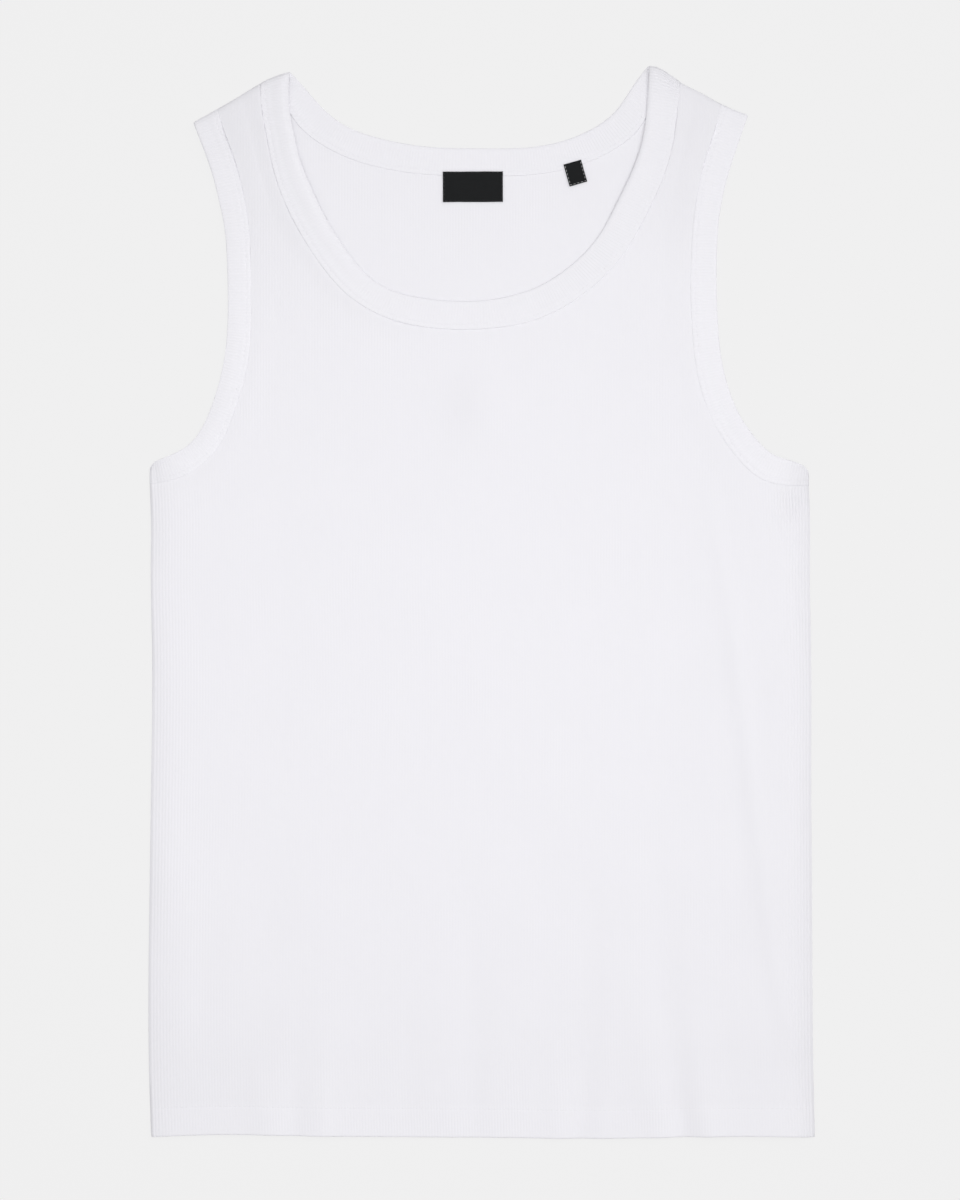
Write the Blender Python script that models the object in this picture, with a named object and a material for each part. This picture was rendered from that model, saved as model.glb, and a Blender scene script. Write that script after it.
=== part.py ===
"""A sleeveless ribbed cotton top, laid flat on its back with its front up.

The front and back panels are cut from one layer of rib. A doubled rib band runs round the neck and round each
armhole as one ring. The layers lie on each other, and they turn into each other over four soft folds: the two sides
and the two shoulders. Sizes are in millimetres inside this file and in metres on the objects. X runs to the
onlooker's right, Y up to the shoulders, Z up out of the front. The origin is on the ground, under the middle.
"""

import math

import bpy
import numpy as np
from mathutils import Vector
from mathutils.geometry import delaunay_2d_cdt

for old in list(bpy.data.objects):
    bpy.data.objects.remove(old, do_unlink=True)

# ---------------------------------------------------------------- sizes, mm
MM = 0.001
CLOTH = 1.2  # one layer of rib
DOUBLE = 1.8  # two pressed layers: the bands and the turned-up hem
LAYER_GAP = 0.3  # between the layers that lie on each other
SEAM_GAP = 0.3  # between two pieces that are sewn together
HEM_DEPTH = 20.0

FOLD_REACH = 2.8  # how far in from the outline a folded edge rounds over
FOLD_MIDDLE = 2.6  # height at which the front turns into the back
BULGE_RUN = 14.0  # how far in the swelling beside a fold dies away
BULGE_BAND = 1.2
BULGE_PANEL = 1.9

FRONT_TOP = CLOTH + LAYER_GAP + CLOTH  # the front panel's face, away from seams
BAND_TOP = DOUBLE + LAYER_GAP + DOUBLE  # the bands' face
SEAM_RISE = 0.8  # the panel rises this much to meet a band
SEAM_RUN = 12.0  # over this distance
HEM_RISE = BAND_TOP - FRONT_TOP
EDGE_DROP = 0.4  # a band's two edges are softer than its middle

BAND_STEP = 10.0
SIDE_STEP = 26.0
SHOULDER_STEP = 9.0
HEM_STEP = 24.0
FRONT_SPACING = 27.0
BACK_SPACING = 60.0
NEAR_FOLD = (0.0, 0.25, 0.9, 2.8, 7.0, 14.0)  # distances of the rows that round a fold over
ACROSS_BAND = (0.0, 0.14, 0.86, 1.0)  # from the free edge to the seam

# ---------------------------------------------------------------- outline tables, mm
# Fold lines: x, y
SHOULDER_LEFT = (
    (-196.5, 326.0),  # armhole edge
    (-180.0, 335.0),  # armhole seam
    (-164.5, 344.0),
    (-150.5, 352.5),  # neck seam
    (-140.0, 357.5),
    (-130.5, 360.5),  # neck edge
)
SHOULDER_RIGHT = (
    (181.0, 331.0),  # armhole edge
    (162.5, 338.5),  # armhole seam
    (148.0, 346.5),
    (134.5, 353.5),  # neck seam
    (126.5, 359.5),
    (119.0, 363.5),
    (113.0, 364.5),  # neck edge
)
SIDE_LEFT = (
    (-226.0, 94.0),  # armhole edge
    (-226.0, 79.5),  # armhole seam
    (-225.3, 62.0),
    (-225.3, 20.0),
    (-224.5, -26.0),
    (-224.8, -107.5),
    (-226.2, -203.0),
    (-226.3, -325.5),
    (-225.0, -364.0),  # hem
)
SIDE_RIGHT = (
    (222.5, 91.0),  # armhole edge
    (222.3, 78.5),  # armhole seam
    (223.0, 62.0),
    (223.0, 20.0),
    (223.8, -26.0),
    (224.0, -107.5),
    (224.5, -203.0),
    (225.5, -325.5),
    (226.5, -364.0),  # hem
)
# The hem's lower edge, left to right: x, y
HEM = (
    (-225.0, -364.0),
    (-192.0, -362.5),
    (-124.0, -363.0),
    (-56.0, -364.0),
    (12.0, -364.5),
    (80.0, -365.0),
    (148.0, -363.8),
    (202.5, -363.5),
    (226.5, -364.0),
)
# Bands, as cross-cuts: free edge x, y, seam x, y
NECK_FRONT = (
    (-130.5, 360.5, -150.5, 352.5),
    (-131.0, 341.0, -150.5, 340.5),
    (-128.0, 320.5, -147.0, 318.5),
    (-123.0, 300.5, -142.0, 294.0),
    (-114.5, 280.0, -134.0, 271.0),
    (-104.5, 259.5, -123.0, 249.5),
    (-91.0, 239.0, -107.5, 226.0),
    (-76.0, 221.5, -89.0, 206.5),
    (-56.0, 210.5, -62.5, 192.0),
    (-32.0, 205.5, -34.5, 186.0),
    (-8.0, 204.5, -9.0, 185.0),
    (12.0, 206.5, 16.5, 187.0),
    (32.5, 212.5, 40.0, 193.0),
    (53.0, 224.0, 65.5, 206.5),
    (80.0, 251.0, 98.5, 240.0),
    (91.0, 271.5, 111.5, 262.5),
    (100.0, 290.0, 120.5, 281.5),
    (107.5, 310.5, 128.5, 305.0),
    (111.0, 331.0, 132.5, 329.0),
    (113.0, 364.5, 134.5, 353.5),
)
NECK_BACK = (
    (-130.5, 360.5, -150.5, 352.5),
    (-124.0, 353.5, -138.5, 342.0),
    (-110.0, 337.5, -125.0, 324.0),
    (-90.0, 322.5, -98.5, 305.0),
    (-66.0, 314.5, -70.5, 295.5),
    (-35.5, 309.5, -37.5, 290.5),
    (-1.5, 308.5, -1.5, 289.5),
    (29.0, 309.0, 30.5, 290.0),
    (53.0, 313.0, 58.5, 294.5),
    (73.5, 321.0, 83.5, 304.0),
    (90.5, 333.5, 104.5, 319.0),
    (103.5, 352.0, 120.0, 340.5),
    (113.0, 364.5, 134.5, 353.5),
)
ARMHOLE_LEFT = (
    (-196.5, 326.0, -180.0, 335.0),
    (-192.0, 314.5, -175.5, 321.0),
    (-185.0, 295.5, -168.0, 300.5),
    (-179.0, 273.0, -162.0, 277.0),
    (-175.0, 252.5, -158.5, 254.5),
    (-173.3, 227.0, -157.2, 227.5),
    (-172.8, 205.0, -157.0, 205.0),
    (-173.5, 181.5, -157.3, 180.0),
    (-176.8, 157.5, -161.3, 152.5),
    (-182.5, 137.0, -167.5, 132.0),
    (-189.5, 120.0, -176.0, 110.5),
    (-199.0, 107.0, -189.0, 94.5),
    (-212.0, 99.5, -205.0, 84.5),
    (-226.0, 94.0, -226.0, 79.5),
)
ARMHOLE_RIGHT = (
    (181.0, 331.0, 162.5, 338.5),
    (175.5, 315.0, 158.0, 320.5),
    (169.5, 297.0, 152.0, 302.0),
    (164.0, 276.5, 147.0, 280.5),
    (161.2, 259.5, 144.0, 261.0),
    (159.8, 239.0, 142.3, 239.5),
    (159.6, 212.0, 141.7, 212.0),
    (160.8, 184.5, 143.0, 182.5),
    (163.3, 163.0, 145.5, 159.5),
    (169.5, 140.0, 152.3, 133.5),
    (177.5, 123.0, 162.0, 113.5),
    (187.5, 109.5, 173.0, 98.0),
    (199.0, 99.5, 190.0, 83.0),
    (211.0, 95.5, 206.5, 79.0),
    (222.5, 91.0, 222.3, 78.5),
)
# The front's largest folds, as soft ridges: head x, y, foot x, y, half width, height, share of the height left at the foot
RIDGES = (
    (163.0, 56.0, 213.0, -312.0, 9.0, 1.3, 0.2),  # long crease down the right side
    (98.0, -190.0, 122.0, -366.0, 13.0, 1.4, 1.0),  # beside the deepest hem trough
    (36.0, -225.0, 59.0, -366.0, 15.0, 1.0, 1.0),
    (-96.0, -285.0, -103.0, -366.0, 12.0, 0.9, 1.0),
    (-148.0, -300.0, -137.0, -366.0, 11.0, 0.8, 1.0),
    (-187.0, -190.0, -184.0, -300.0, 9.0, 0.6, 0.0),
)
# Labels inside the back neck: middle x, y, width, height, turn in degrees
BRAND_LABEL = (-6.2, 282.2, 40.8, 20.6, 0.2)
SIZE_LABEL = (63.5, 291.5, 12.4, 15.4, 16.0)
LABEL_CLOTH = 1.0


# ---------------------------------------------------------------- curves
def smooth_step(t):
    t = np.clip(t, 0.0, 1.0)
    return t * t * (3.0 - 2.0 * t)


def curve(rows):
    """A smooth line through the rows. Returns each row's distance along it and a function of that distance."""
    p = np.array(rows, float)
    middle = p if p.shape[1] == 2 else (p[:, :2] + p[:, 2:]) / 2
    t = np.concatenate([[0.0], np.cumsum(np.linalg.norm(np.diff(middle, axis=0), axis=1))])
    n, h = len(t), np.diff(t)
    a, b = np.eye(n), np.zeros(p.shape)
    for i in range(1, n - 1):
        a[i, i - 1 : i + 2] = h[i - 1], 2 * (h[i - 1] + h[i]), h[i]
        b[i] = 6 * ((p[i + 1] - p[i]) / h[i] - (p[i] - p[i - 1]) / h[i - 1])
    m = np.linalg.solve(a, b)

    def at(s):
        s = np.atleast_1d(np.asarray(s, float))
        k = np.clip(np.searchsorted(t, s) - 1, 0, n - 2)
        u, v, w = (s - t[k])[:, None], (t[k + 1] - s)[:, None], h[k][:, None]
        bend = (m[k] * v**3 + m[k + 1] * u**3) / (6 * w)
        return bend + (p[k] / w - m[k] * w / 6) * v + (p[k + 1] / w - m[k + 1] * w / 6) * u

    return t, at


def nearest(points, line):
    """Distance from each point to a line of short segments, and that segment's direction."""
    a, b = line[:-1], line[1:]
    d = b - a
    length2 = (d * d).sum(1)
    rel = points[:, None, :] - a[None]
    t = np.clip((rel * d[None]).sum(2) / length2[None], 0.0, 1.0)
    gap = rel - t[..., None] * d[None]
    dist = np.sqrt((gap * gap).sum(2))
    k = dist.argmin(1)
    rows = np.arange(len(points))
    side = d[k, 0] * gap[rows, k, 1] - d[k, 1] * gap[rows, k, 0]
    return dist[rows, k], d[k] / np.sqrt(length2[k])[:, None], np.sign(side)


def fine_line(rows, ends=25.0, step=3.0):
    """The line through the rows in short segments, run on straight at both ends."""
    t, at = curve(rows)
    s = np.linspace(0.0, t[-1], int(t[-1] / step) + 2)
    p = at(s)
    first, last = p[0] - p[1], p[-1] - p[-2]
    first, last = first / np.linalg.norm(first), last / np.linalg.norm(last)
    return np.vstack([p[0] + first * ends, p, p[-1] + last * ends])


FOLDS = {
    "shoulder_left": SHOULDER_LEFT,
    "shoulder_right": SHOULDER_RIGHT,
    "side_left": SIDE_LEFT,
    "side_right": SIDE_RIGHT,
}
FOLD_LINES = {name: fine_line(rows, step=1.0) for name, rows in FOLDS.items()}
BODY_MIDDLE = np.array([0.0, 100.0])
ON_FOLD = 0.05  # a point this near a fold line is on it


def fold_near(p):
    """Distance from each point to the nearest fold, and the outward direction there."""
    best = np.full(len(p), 1e9)
    out = np.zeros((len(p), 2))
    for line in FOLD_LINES.values():
        d, along, _ = nearest(p, line)
        normal = np.stack([along[:, 1], -along[:, 0]], 1)
        normal *= np.sign(((p - BODY_MIDDLE) * normal).sum(1))[:, None]
        closer = d < best
        best[closer], out[closer] = d[closer], normal[closer]
    best[best < ON_FOLD] = 0.0
    return best, out


def fold_points(fold, row_a, row_b, share):
    """Points on a fold line, from one table row to another and on past it."""
    t, at = curve(FOLDS[fold])
    return at(t[row_a] + (t[row_b] - t[row_a]) * np.asarray(share))


# ---------------------------------------------------------------- bands in plan
def cross_cuts(table, start, end, shares, beyond_seam=None):
    """Rows of plan points across a band, from one fold to the next: array [cut, across, xy].

    start and end are (fold, row of the free edge, row of the seam). shares run from 0 at the free edge to 1 at the
    seam. The seam end is held half a seam gap short, or run on past the seam by beyond_seam.
    """
    t, at = curve(table)
    length = t[-1]
    count = max(2, int(round((length - 2 * NEAR_FOLD[-1]) / BAND_STEP)) + 1)
    between = np.linspace(NEAR_FOLD[-1], length - NEAR_FOLD[-1], count)[1:-1]
    s = np.concatenate([NEAR_FOLD, between, length - np.array(NEAR_FOLD)[::-1]])
    cut = at(s)
    free, seam = cut[:, None, :2], cut[:, None, 2:]
    width = np.linalg.norm(seam - free, axis=2)
    reach = 1.0 + (beyond_seam if beyond_seam is not None else -SEAM_GAP / 2) / width
    u = np.array(shares)[None, :] * reach
    points = free * (1 - u[..., None]) + seam * u[..., None]
    for (fold, row_free, row_seam), which, away in ((start, 0, s), (end, -1, length - s)):
        target = fold_points(fold, row_free, row_seam, u[which])
        pull = 1.0 - smooth_step(away / NEAR_FOLD[-1])
        points = points + (target - points[which])[None] * pull[:, None, None]
    return points


RINGS = {
    "neck_band": (
        (NECK_FRONT, ("shoulder_left", 5, 3), ("shoulder_right", 6, 3)),
        (NECK_BACK, ("shoulder_left", 5, 3), ("shoulder_right", 6, 3)),
    ),
    "armhole_band_left": (
        (ARMHOLE_LEFT, ("shoulder_left", 0, 1), ("side_left", 0, 1)),
        (ARMHOLE_LEFT, ("shoulder_left", 0, 1), ("side_left", 0, 1)),
    ),
    "armhole_band_right": (
        (ARMHOLE_RIGHT, ("shoulder_right", 0, 1), ("side_right", 0, 1)),
        (ARMHOLE_RIGHT, ("shoulder_right", 0, 1), ("side_right", 0, 1)),
    ),
}


def seam_line(table, start, end):
    """The panel's own edge along a band, half a seam gap inside the seam."""
    return cross_cuts(table, start, end, (1.0,), beyond_seam=SEAM_GAP / 2)[:, 0]


NECK_SEAM_FRONT = seam_line(*RINGS["neck_band"][0])
NECK_SEAM_BACK = seam_line(*RINGS["neck_band"][1])
ARM_SEAM_LEFT = seam_line(*RINGS["armhole_band_left"][0])
ARM_SEAM_RIGHT = seam_line(*RINGS["armhole_band_right"][0])


HEM_LINE = fine_line(HEM, ends=1.0, step=4.0)


def hem_y(x):
    return np.interp(x, HEM_LINE[:, 0], HEM_LINE[:, 1])


# ---------------------------------------------------------------- heights
def rounding(d):
    """0 on the fold line to 1 where the cloth lies level."""
    return np.sqrt(1.0 - (1.0 - np.clip(d / FOLD_REACH, 0.0, 1.0)) ** 2)


def ridge_height(p):
    total = np.zeros(len(p))
    for head_x, head_y, foot_x, foot_y, half_width, height, left_at_foot in RIDGES:
        head, run = np.array([head_x, head_y]), np.array([foot_x - head_x, foot_y - head_y])
        share = np.clip(((p - head) @ run) / (run @ run), 0.0, 1.0)
        away = np.linalg.norm(p - head - share[:, None] * run, axis=1)
        grow = smooth_step(share / 0.4)
        fade = 1.0 - (1.0 - left_at_foot) * smooth_step((share - 0.6) / 0.4)
        total += height * grow * fade * np.exp(-((away / half_width) ** 2))
    return total


def panel_level(p):
    """The front panel's face away from the folds: raised at the bands and the hem, with its ridges."""
    seam = np.minimum.reduce([nearest(p, line)[0] for line in (NECK_SEAM_FRONT, ARM_SEAM_LEFT, ARM_SEAM_RIGHT)])
    by_band = SEAM_RISE * (1.0 - smooth_step(seam / SEAM_RUN))
    by_hem = HEM_RISE * (1.0 - smooth_step((p[:, 1] - hem_y(p[:, 0]) - HEM_DEPTH) / SEAM_RUN))
    return FRONT_TOP + np.maximum(by_band, by_hem) + ridge_height(p)


def outer_height(p, layer, kind):
    """Height of a piece's outer face: the front's upper face, or the back's underside."""
    d, _ = fold_near(p)
    start = FOLD_MIDDLE
    if kind == "panel":
        start += SEAM_GAP / 2 if layer == "front" else -SEAM_GAP / 2
    if layer == "back":
        return start * (1.0 - rounding(d))
    level, bulge = (BAND_TOP, BULGE_BAND) if kind == "band" else (panel_level(p), BULGE_PANEL)
    if kind == "panel":  # no more than a band's height where the panel is already raised
        bulge = bulge - 0.6 * (level - FRONT_TOP)
    top = level + np.maximum(bulge, 0.4) * (1.0 - smooth_step((d - FOLD_REACH) / BULGE_RUN))
    return start + (top - start) * rounding(d)


def outer_normal(p, layer, kind):
    """Direction out of the outer face, level with the ground on a fold line."""
    d, out = fold_near(p)
    e = 0.02
    slope = [
        (outer_height(p + step, layer, kind) - outer_height(p - step, layer, kind)) / (2 * e)
        for step in (np.array([e, 0.0]), np.array([0.0, e]))
    ]
    up = 1.0 if layer == "front" else -1.0
    n = np.stack([-slope[0] * up, -slope[1] * up, np.full(len(p), up)], 1)
    on_fold = d < ON_FOLD
    n[on_fold] = np.column_stack([out[on_fold], np.zeros(on_fold.sum())])
    return n / np.linalg.norm(n, axis=1)[:, None]


def faces_of(p, layer, kind, thickness, drop=0.0):
    """Outer and inner points over plan points."""
    n = outer_normal(p, layer, kind)
    outer = np.column_stack([p, outer_height(p, layer, kind)])
    return outer - n * np.broadcast_to(drop, len(p))[:, None], outer - n * np.broadcast_to(thickness, len(p))[:, None]


# ---------------------------------------------------------------- objects
def material(name, colour, roughness, sheen):
    m = bpy.data.materials.new(name)
    m.use_nodes = True
    shader = m.node_tree.nodes["Principled BSDF"]
    shader.inputs["Base Color"].default_value = (*colour, 1.0)
    shader.inputs["Roughness"].default_value = roughness
    shader.inputs["Metallic"].default_value = 0.0
    shader.inputs["Sheen Weight"].default_value = sheen
    m.diffuse_color = (*colour, 1.0)
    return m


def make(name, points, triangles, colour, roughness=0.9, sheen=0.2):
    """A closed body from points in millimetres, with its faces turned outwards."""
    v, f = np.array(points), np.array(triangles)
    a, b, c = v[f[:, 0]], v[f[:, 1]], v[f[:, 2]]
    if (a * np.cross(b, c)).sum() < 0:
        f = f[:, ::-1]
    mesh = bpy.data.meshes.new(name)
    mesh.from_pydata((v * MM).tolist(), [], f.tolist())
    mesh.validate()
    mesh.shade_smooth()
    mesh.set_sharp_from_angle(angle=math.radians(40.0))
    ob = bpy.data.objects.new(name, mesh)
    mesh.materials.append(material(name, colour, roughness, sheen))
    bpy.context.scene.collection.objects.link(ob)
    return ob


def split(quads):
    return [t for a, b, c, d in quads for t in ((a, b, c), (a, c, d))]


def ring(name, front, back, colour):
    """A band as one closed ring: its front run, over one fold, its back run, over the other fold."""
    sections = []
    for layer, (table, start, end) in (("front", front), ("back", back)):
        cuts = cross_cuts(table, start, end, ACROSS_BAND)
        if layer == "back":
            cuts = cuts[::-1][1:-1]
        count, across = cuts.shape[:2]
        flat = cuts.reshape(-1, 2)
        d, _ = fold_near(flat)
        edge = np.tile([1.0, 0.0, 0.0, 1.0], count)
        drop = EDGE_DROP * edge * smooth_step(d / NEAR_FOLD[-1]) if layer == "front" else 0.0
        outer, inner = faces_of(flat, layer, "band", DOUBLE, drop)
        outer, inner = outer.reshape(count, across, 3), inner.reshape(count, across, 3)
        sections.append(np.concatenate([outer, inner[:, ::-1]], axis=1))
    loops = np.vstack(sections)
    count, size = loops.shape[:2]
    quads = [
        (i * size + j, i * size + (j + 1) % size, (i + 1) % count * size + (j + 1) % size, (i + 1) % count * size + j)
        for i in range(count)
        for j in range(size)
    ]
    return make(name, loops.reshape(-1, 3), split(quads), colour)


def inside(points, outline):
    x, y = points[:, 0][:, None], points[:, 1][:, None]
    a, b = outline, np.roll(outline, -1, axis=0)
    crosses = (a[None, :, 1] > y) != (b[None, :, 1] > y)
    height = np.where(b[:, 1] == a[:, 1], 1.0, b[:, 1] - a[:, 1])
    at_x = a[None, :, 0] + (y - a[None, :, 1]) * ((b[:, 0] - a[:, 0]) / height)[None]
    return ((crosses & (x < at_x)).sum(1) % 2) == 1


def fold_stretch(fold, row_a, row_b, trim_a, trim_b, step):
    """Points along a fold between two table rows, trimmed at each end."""
    t, at = curve(FOLDS[fold])
    a, b = t[row_a], t[row_b]
    sign = 1.0 if b > a else -1.0
    a, b = a + sign * trim_a, b - sign * trim_b
    return at(np.linspace(a, b, max(2, int(round(abs(b - a) / step)) + 1)))


# A panel's four folded edges: fold, first table row, last table row, trims at the two ends, spacing
FOLDED_EDGES = {
    "side_right": fold_stretch("side_right", 8, 1, 0.0, SEAM_GAP / 2, SIDE_STEP),
    "shoulder_right": fold_stretch("shoulder_right", 1, 3, SEAM_GAP / 2, SEAM_GAP / 2, SHOULDER_STEP),
    "shoulder_left": fold_stretch("shoulder_left", 3, 1, SEAM_GAP / 2, SEAM_GAP / 2, SHOULDER_STEP),
    "side_left": fold_stretch("side_left", 1, 8, SEAM_GAP / 2, 0.0, SIDE_STEP),
}


def panel_outline(neck_seam):
    """Round the panel, the hem first: up the right side, over the neck and down the left side."""
    t, at = curve(HEM)
    length, ends = t[-1], np.array(NEAR_FOLD)
    between = np.linspace(ends[-1], length - ends[-1], int(length / HEM_STEP))[1:-1]
    hem = at(np.concatenate([ends, between, length - ends[::-1]]))
    edge = {name: points[1:-1] for name, points in FOLDED_EDGES.items()}
    return np.vstack(
        [
            hem,
            edge["side_right"],
            ARM_SEAM_RIGHT[::-1],
            edge["shoulder_right"],
            neck_seam[::-1],
            edge["shoulder_left"],
            ARM_SEAM_LEFT,
            edge["side_left"],
        ]
    )


def points_within(outline, layer, spacing):
    """Points inside a panel: rows that round each fold over, rows at the hem line and the ridges, and a loose grid."""
    found = []
    reach = NEAR_FOLD[1:] if layer == "front" else NEAR_FOLD[1:4]
    for line in FOLDED_EDGES.values():
        along = np.gradient(line, axis=0)
        normal = np.stack([along[:, 1], -along[:, 0]], 1)
        normal /= np.linalg.norm(normal, axis=1)[:, None]
        normal *= np.sign(((line - BODY_MIDDLE) * normal).sum(1))[:, None]
        for depth in reach:
            found.append((line - normal * depth)[1:-1])
    rolls = len(np.vstack(found))
    x = np.arange(-205.0, 206.0, HEM_STEP)
    for up in (-0.8, 0.8) + ((SEAM_RUN,) if layer == "front" else ()):
        found.append(np.column_stack([x, hem_y(x) + HEM_DEPTH + up]))
    if layer == "front":
        for head_x, head_y, foot_x, foot_y, half_width, _, _ in RIDGES:
            head, foot = np.array([head_x, head_y]), np.array([foot_x, foot_y])
            run = foot - head
            side = np.array([-run[1], run[0]]) / np.linalg.norm(run)
            count = int(np.linalg.norm(run) / 24.0) + 1
            for k in np.linspace(0.0, 1.0, count):
                for off in (-1.2 * half_width, 0.0, 1.2 * half_width):
                    point = (head + run * k + side * off)[None]
                    if fold_near(point)[0][0] > NEAR_FOLD[-1] + 4.0:
                        found.append(point)
    ruled = np.vstack(found)
    closed = np.vstack([outline, outline[:1]])
    room = np.where(np.arange(len(ruled)) < rolls, 0.2, 4.0)
    ruled = ruled[inside(ruled, outline) & (nearest(ruled, closed)[0] > room)]
    xs = np.arange(-216.0, 217.0, spacing)
    ys = np.arange(-350.0, 350.0, spacing * 0.87)
    grid = np.array([(x + (spacing / 2 if k % 2 else 0.0), y) for k, y in enumerate(ys) for x in xs])
    grid = grid[inside(grid, outline)]
    grid = grid[nearest(grid, closed)[0] > 0.5 * min(spacing, 30.0)]
    gaps = np.sqrt(((grid[:, None] - ruled[None]) ** 2).sum(2)).min(1)
    grid = grid[gaps > 0.5 * min(spacing, 26.0)]
    points = np.vstack([ruled, grid])
    by_fold = fold_near(points)[0] < NEAR_FOLD[-1] + 0.5
    at_hem = np.abs(points[:, 1] - hem_y(points[:, 0]) - HEM_DEPTH) < 2.0
    room = np.where(by_fold, 0.5, np.where(at_hem, 1.2, 5.0))
    kept = []
    for i, p in enumerate(points):  # leave out a point that lies on another
        if not kept or np.abs(points[kept] - p).sum(1).min() > room[i]:
            kept.append(i)
    return points[kept]


def panel(name, layer, neck_seam, spacing, colour):
    """A panel as one wall: its outer face, its inner face and the rim that joins them."""
    outline = panel_outline(neck_seam)
    plan = np.vstack([outline, points_within(outline, layer, spacing)])
    got = delaunay_2d_cdt([Vector(p) for p in plan], [], [list(range(len(outline)))], 1, 1e-5)
    if len(got[0]) != len(plan):
        raise RuntimeError(f"{name}: the outline meets itself")
    order = [ids[0] for ids in got[3]]
    triangles = [[order[i] for i in face] for face in got[2]]
    hem = 1.0 - smooth_step((plan[:, 1] - hem_y(plan[:, 0]) - HEM_DEPTH + 0.8) / 1.6)
    outer, inner = faces_of(plan, layer, "panel", CLOTH + (DOUBLE - CLOTH) * hem)
    top, bottom = (outer, inner) if layer == "front" else (inner, outer)
    n, rim = len(plan), len(outline)
    walls = [(n + i, n + (i + 1) % rim, (i + 1) % rim, i) for i in range(rim)]
    flipped = [[n + c, n + b, n + a] for a, b, c in triangles]
    return make(name, np.vstack([top, bottom]), triangles + flipped + split(walls), colour)


def label(name, size, colour):
    """A woven label that lies on the back's inner face, half over the band's seam."""
    mid_x, mid_y, width, height, turn = size
    c, s = math.cos(math.radians(turn)), math.sin(math.radians(turn))
    us, vs = np.linspace(-0.5, 0.5, 7) * width, np.linspace(-0.5, 0.5, 7) * height
    plan = np.array([(mid_x + u * c - v * s, mid_y + u * s + v * c) for v in vs for u in us])
    seam_rows = np.array([row[2:] for row in NECK_BACK])
    below = np.interp(plan[:, 0], seam_rows[:, 0], seam_rows[:, 1]) - plan[:, 1]
    under = CLOTH + (DOUBLE - CLOTH) * (1.0 - smooth_step((below - 2.0) / 7.0))
    bottom = np.column_stack([plan, under + LAYER_GAP])
    top = bottom + np.array([0.0, 0.0, LABEL_CLOTH])
    n = len(plan)
    cell = [(j * 7 + i, j * 7 + i + 1, (j + 1) * 7 + i + 1, (j + 1) * 7 + i) for j in range(6) for i in range(6)]
    loop = [*range(0, 7), *range(13, 49, 7), *range(47, 41, -1), *range(35, 0, -7)]
    walls = [(n + a, n + b, b, a) for a, b in zip(loop, loop[1:] + loop[:1])]
    faces = split(cell) + [[n + c, n + b, n + a] for a, b, c in split(cell)] + split(walls)
    return make(name, np.vstack([top, bottom]), faces, colour, roughness=0.6, sheen=0.1)


WHITE = (0.87, 0.87, 0.89)
BLACK = (0.018, 0.018, 0.02)
panel("back_panel", "back", NECK_SEAM_BACK, BACK_SPACING, WHITE)
panel("front_panel", "front", NECK_SEAM_FRONT, FRONT_SPACING, WHITE)
for band_name, (front_run, back_run) in RINGS.items():
    ring(band_name, front_run, back_run, WHITE)
label("brand_label", BRAND_LABEL, BLACK)
label("size_label", SIZE_LABEL, BLACK)
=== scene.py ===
"""Looks of the ribbed cotton tank top, laid flat with its front up and seen from straight above.

Every piece of cloth is a thin closed shell on the form of its CAD solid, with the knitted ribs as real relief: up and
down on the two panels, across on the three bands. Sizes are in millimetres inside this file and in metres on the
objects. X runs to the onlooker's right, Y up to the shoulders, Z out of the front.
"""

import math

import bpy
import numpy as np
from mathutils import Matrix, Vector
from mathutils.geometry import delaunay_2d_cdt


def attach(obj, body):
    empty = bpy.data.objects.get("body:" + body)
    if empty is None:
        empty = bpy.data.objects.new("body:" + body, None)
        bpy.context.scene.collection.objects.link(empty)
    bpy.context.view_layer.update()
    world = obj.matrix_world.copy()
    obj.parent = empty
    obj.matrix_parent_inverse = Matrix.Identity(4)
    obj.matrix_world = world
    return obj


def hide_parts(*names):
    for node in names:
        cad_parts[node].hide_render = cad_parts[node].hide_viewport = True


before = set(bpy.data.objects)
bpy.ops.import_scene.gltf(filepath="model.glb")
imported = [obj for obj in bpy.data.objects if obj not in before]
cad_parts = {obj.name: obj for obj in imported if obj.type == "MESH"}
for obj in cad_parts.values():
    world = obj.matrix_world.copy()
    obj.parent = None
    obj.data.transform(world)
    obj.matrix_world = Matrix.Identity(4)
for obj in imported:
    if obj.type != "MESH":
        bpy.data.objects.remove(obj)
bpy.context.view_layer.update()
MM = 0.001

# ---------------------------------------------------------------- sizes, mm
CLOTH = 1.2  # one layer of rib
DOUBLE = 1.8  # two pressed layers: the bands and the turned-up hem
LAYER_GAP = 0.3
HEM_DEPTH = 20.0
HEM_STITCH = 19.4  # the stitch line's height above the hem's edge
FOLD_REACH = 2.8
FOLD_MIDDLE = 2.6
BULGE_RUN = 17.0
BULGE_BAND = 1.5
SIDE_SWELL = 2.3  # the front rises this much behind the left side fold, over SWELL_RUN, and then sinks slowly
RIGHT_SWELL = 3.5  # and this much behind the right one
SHOULDER_SWELL = 1.6
SWELL_RUN = 7.0
FRONT_TOP = CLOTH + LAYER_GAP + CLOTH
BAND_TOP = DOUBLE + LAYER_GAP + DOUBLE
SEAM_RISE = 0.8
SEAM_RUN = 12.0
FOLD_PUFF = 0.85  # the cloth's own roundness at a side fold
SHOULDER_PUFF = 1.7
HEM_RISE = BAND_TOP - FRONT_TOP

RIB = 1.94  # from one rib to the next
RIB_BY_SIDE = 2.2  # the ribs are pulled a little apart beside the side folds
RIB_DEPTH = 0.055  # the ribs lie closed over most of the body
RIB_DEPTH_BY_SIDE = 0.2  # and are pulled open beside the side folds
BAND_RIB_DEPTH = 0.14
BAND_RIB = 1.98
COURSE = 0.68  # from one row of knitted loops to the next
PER_RIB = 4  # columns of points to a rib

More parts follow.
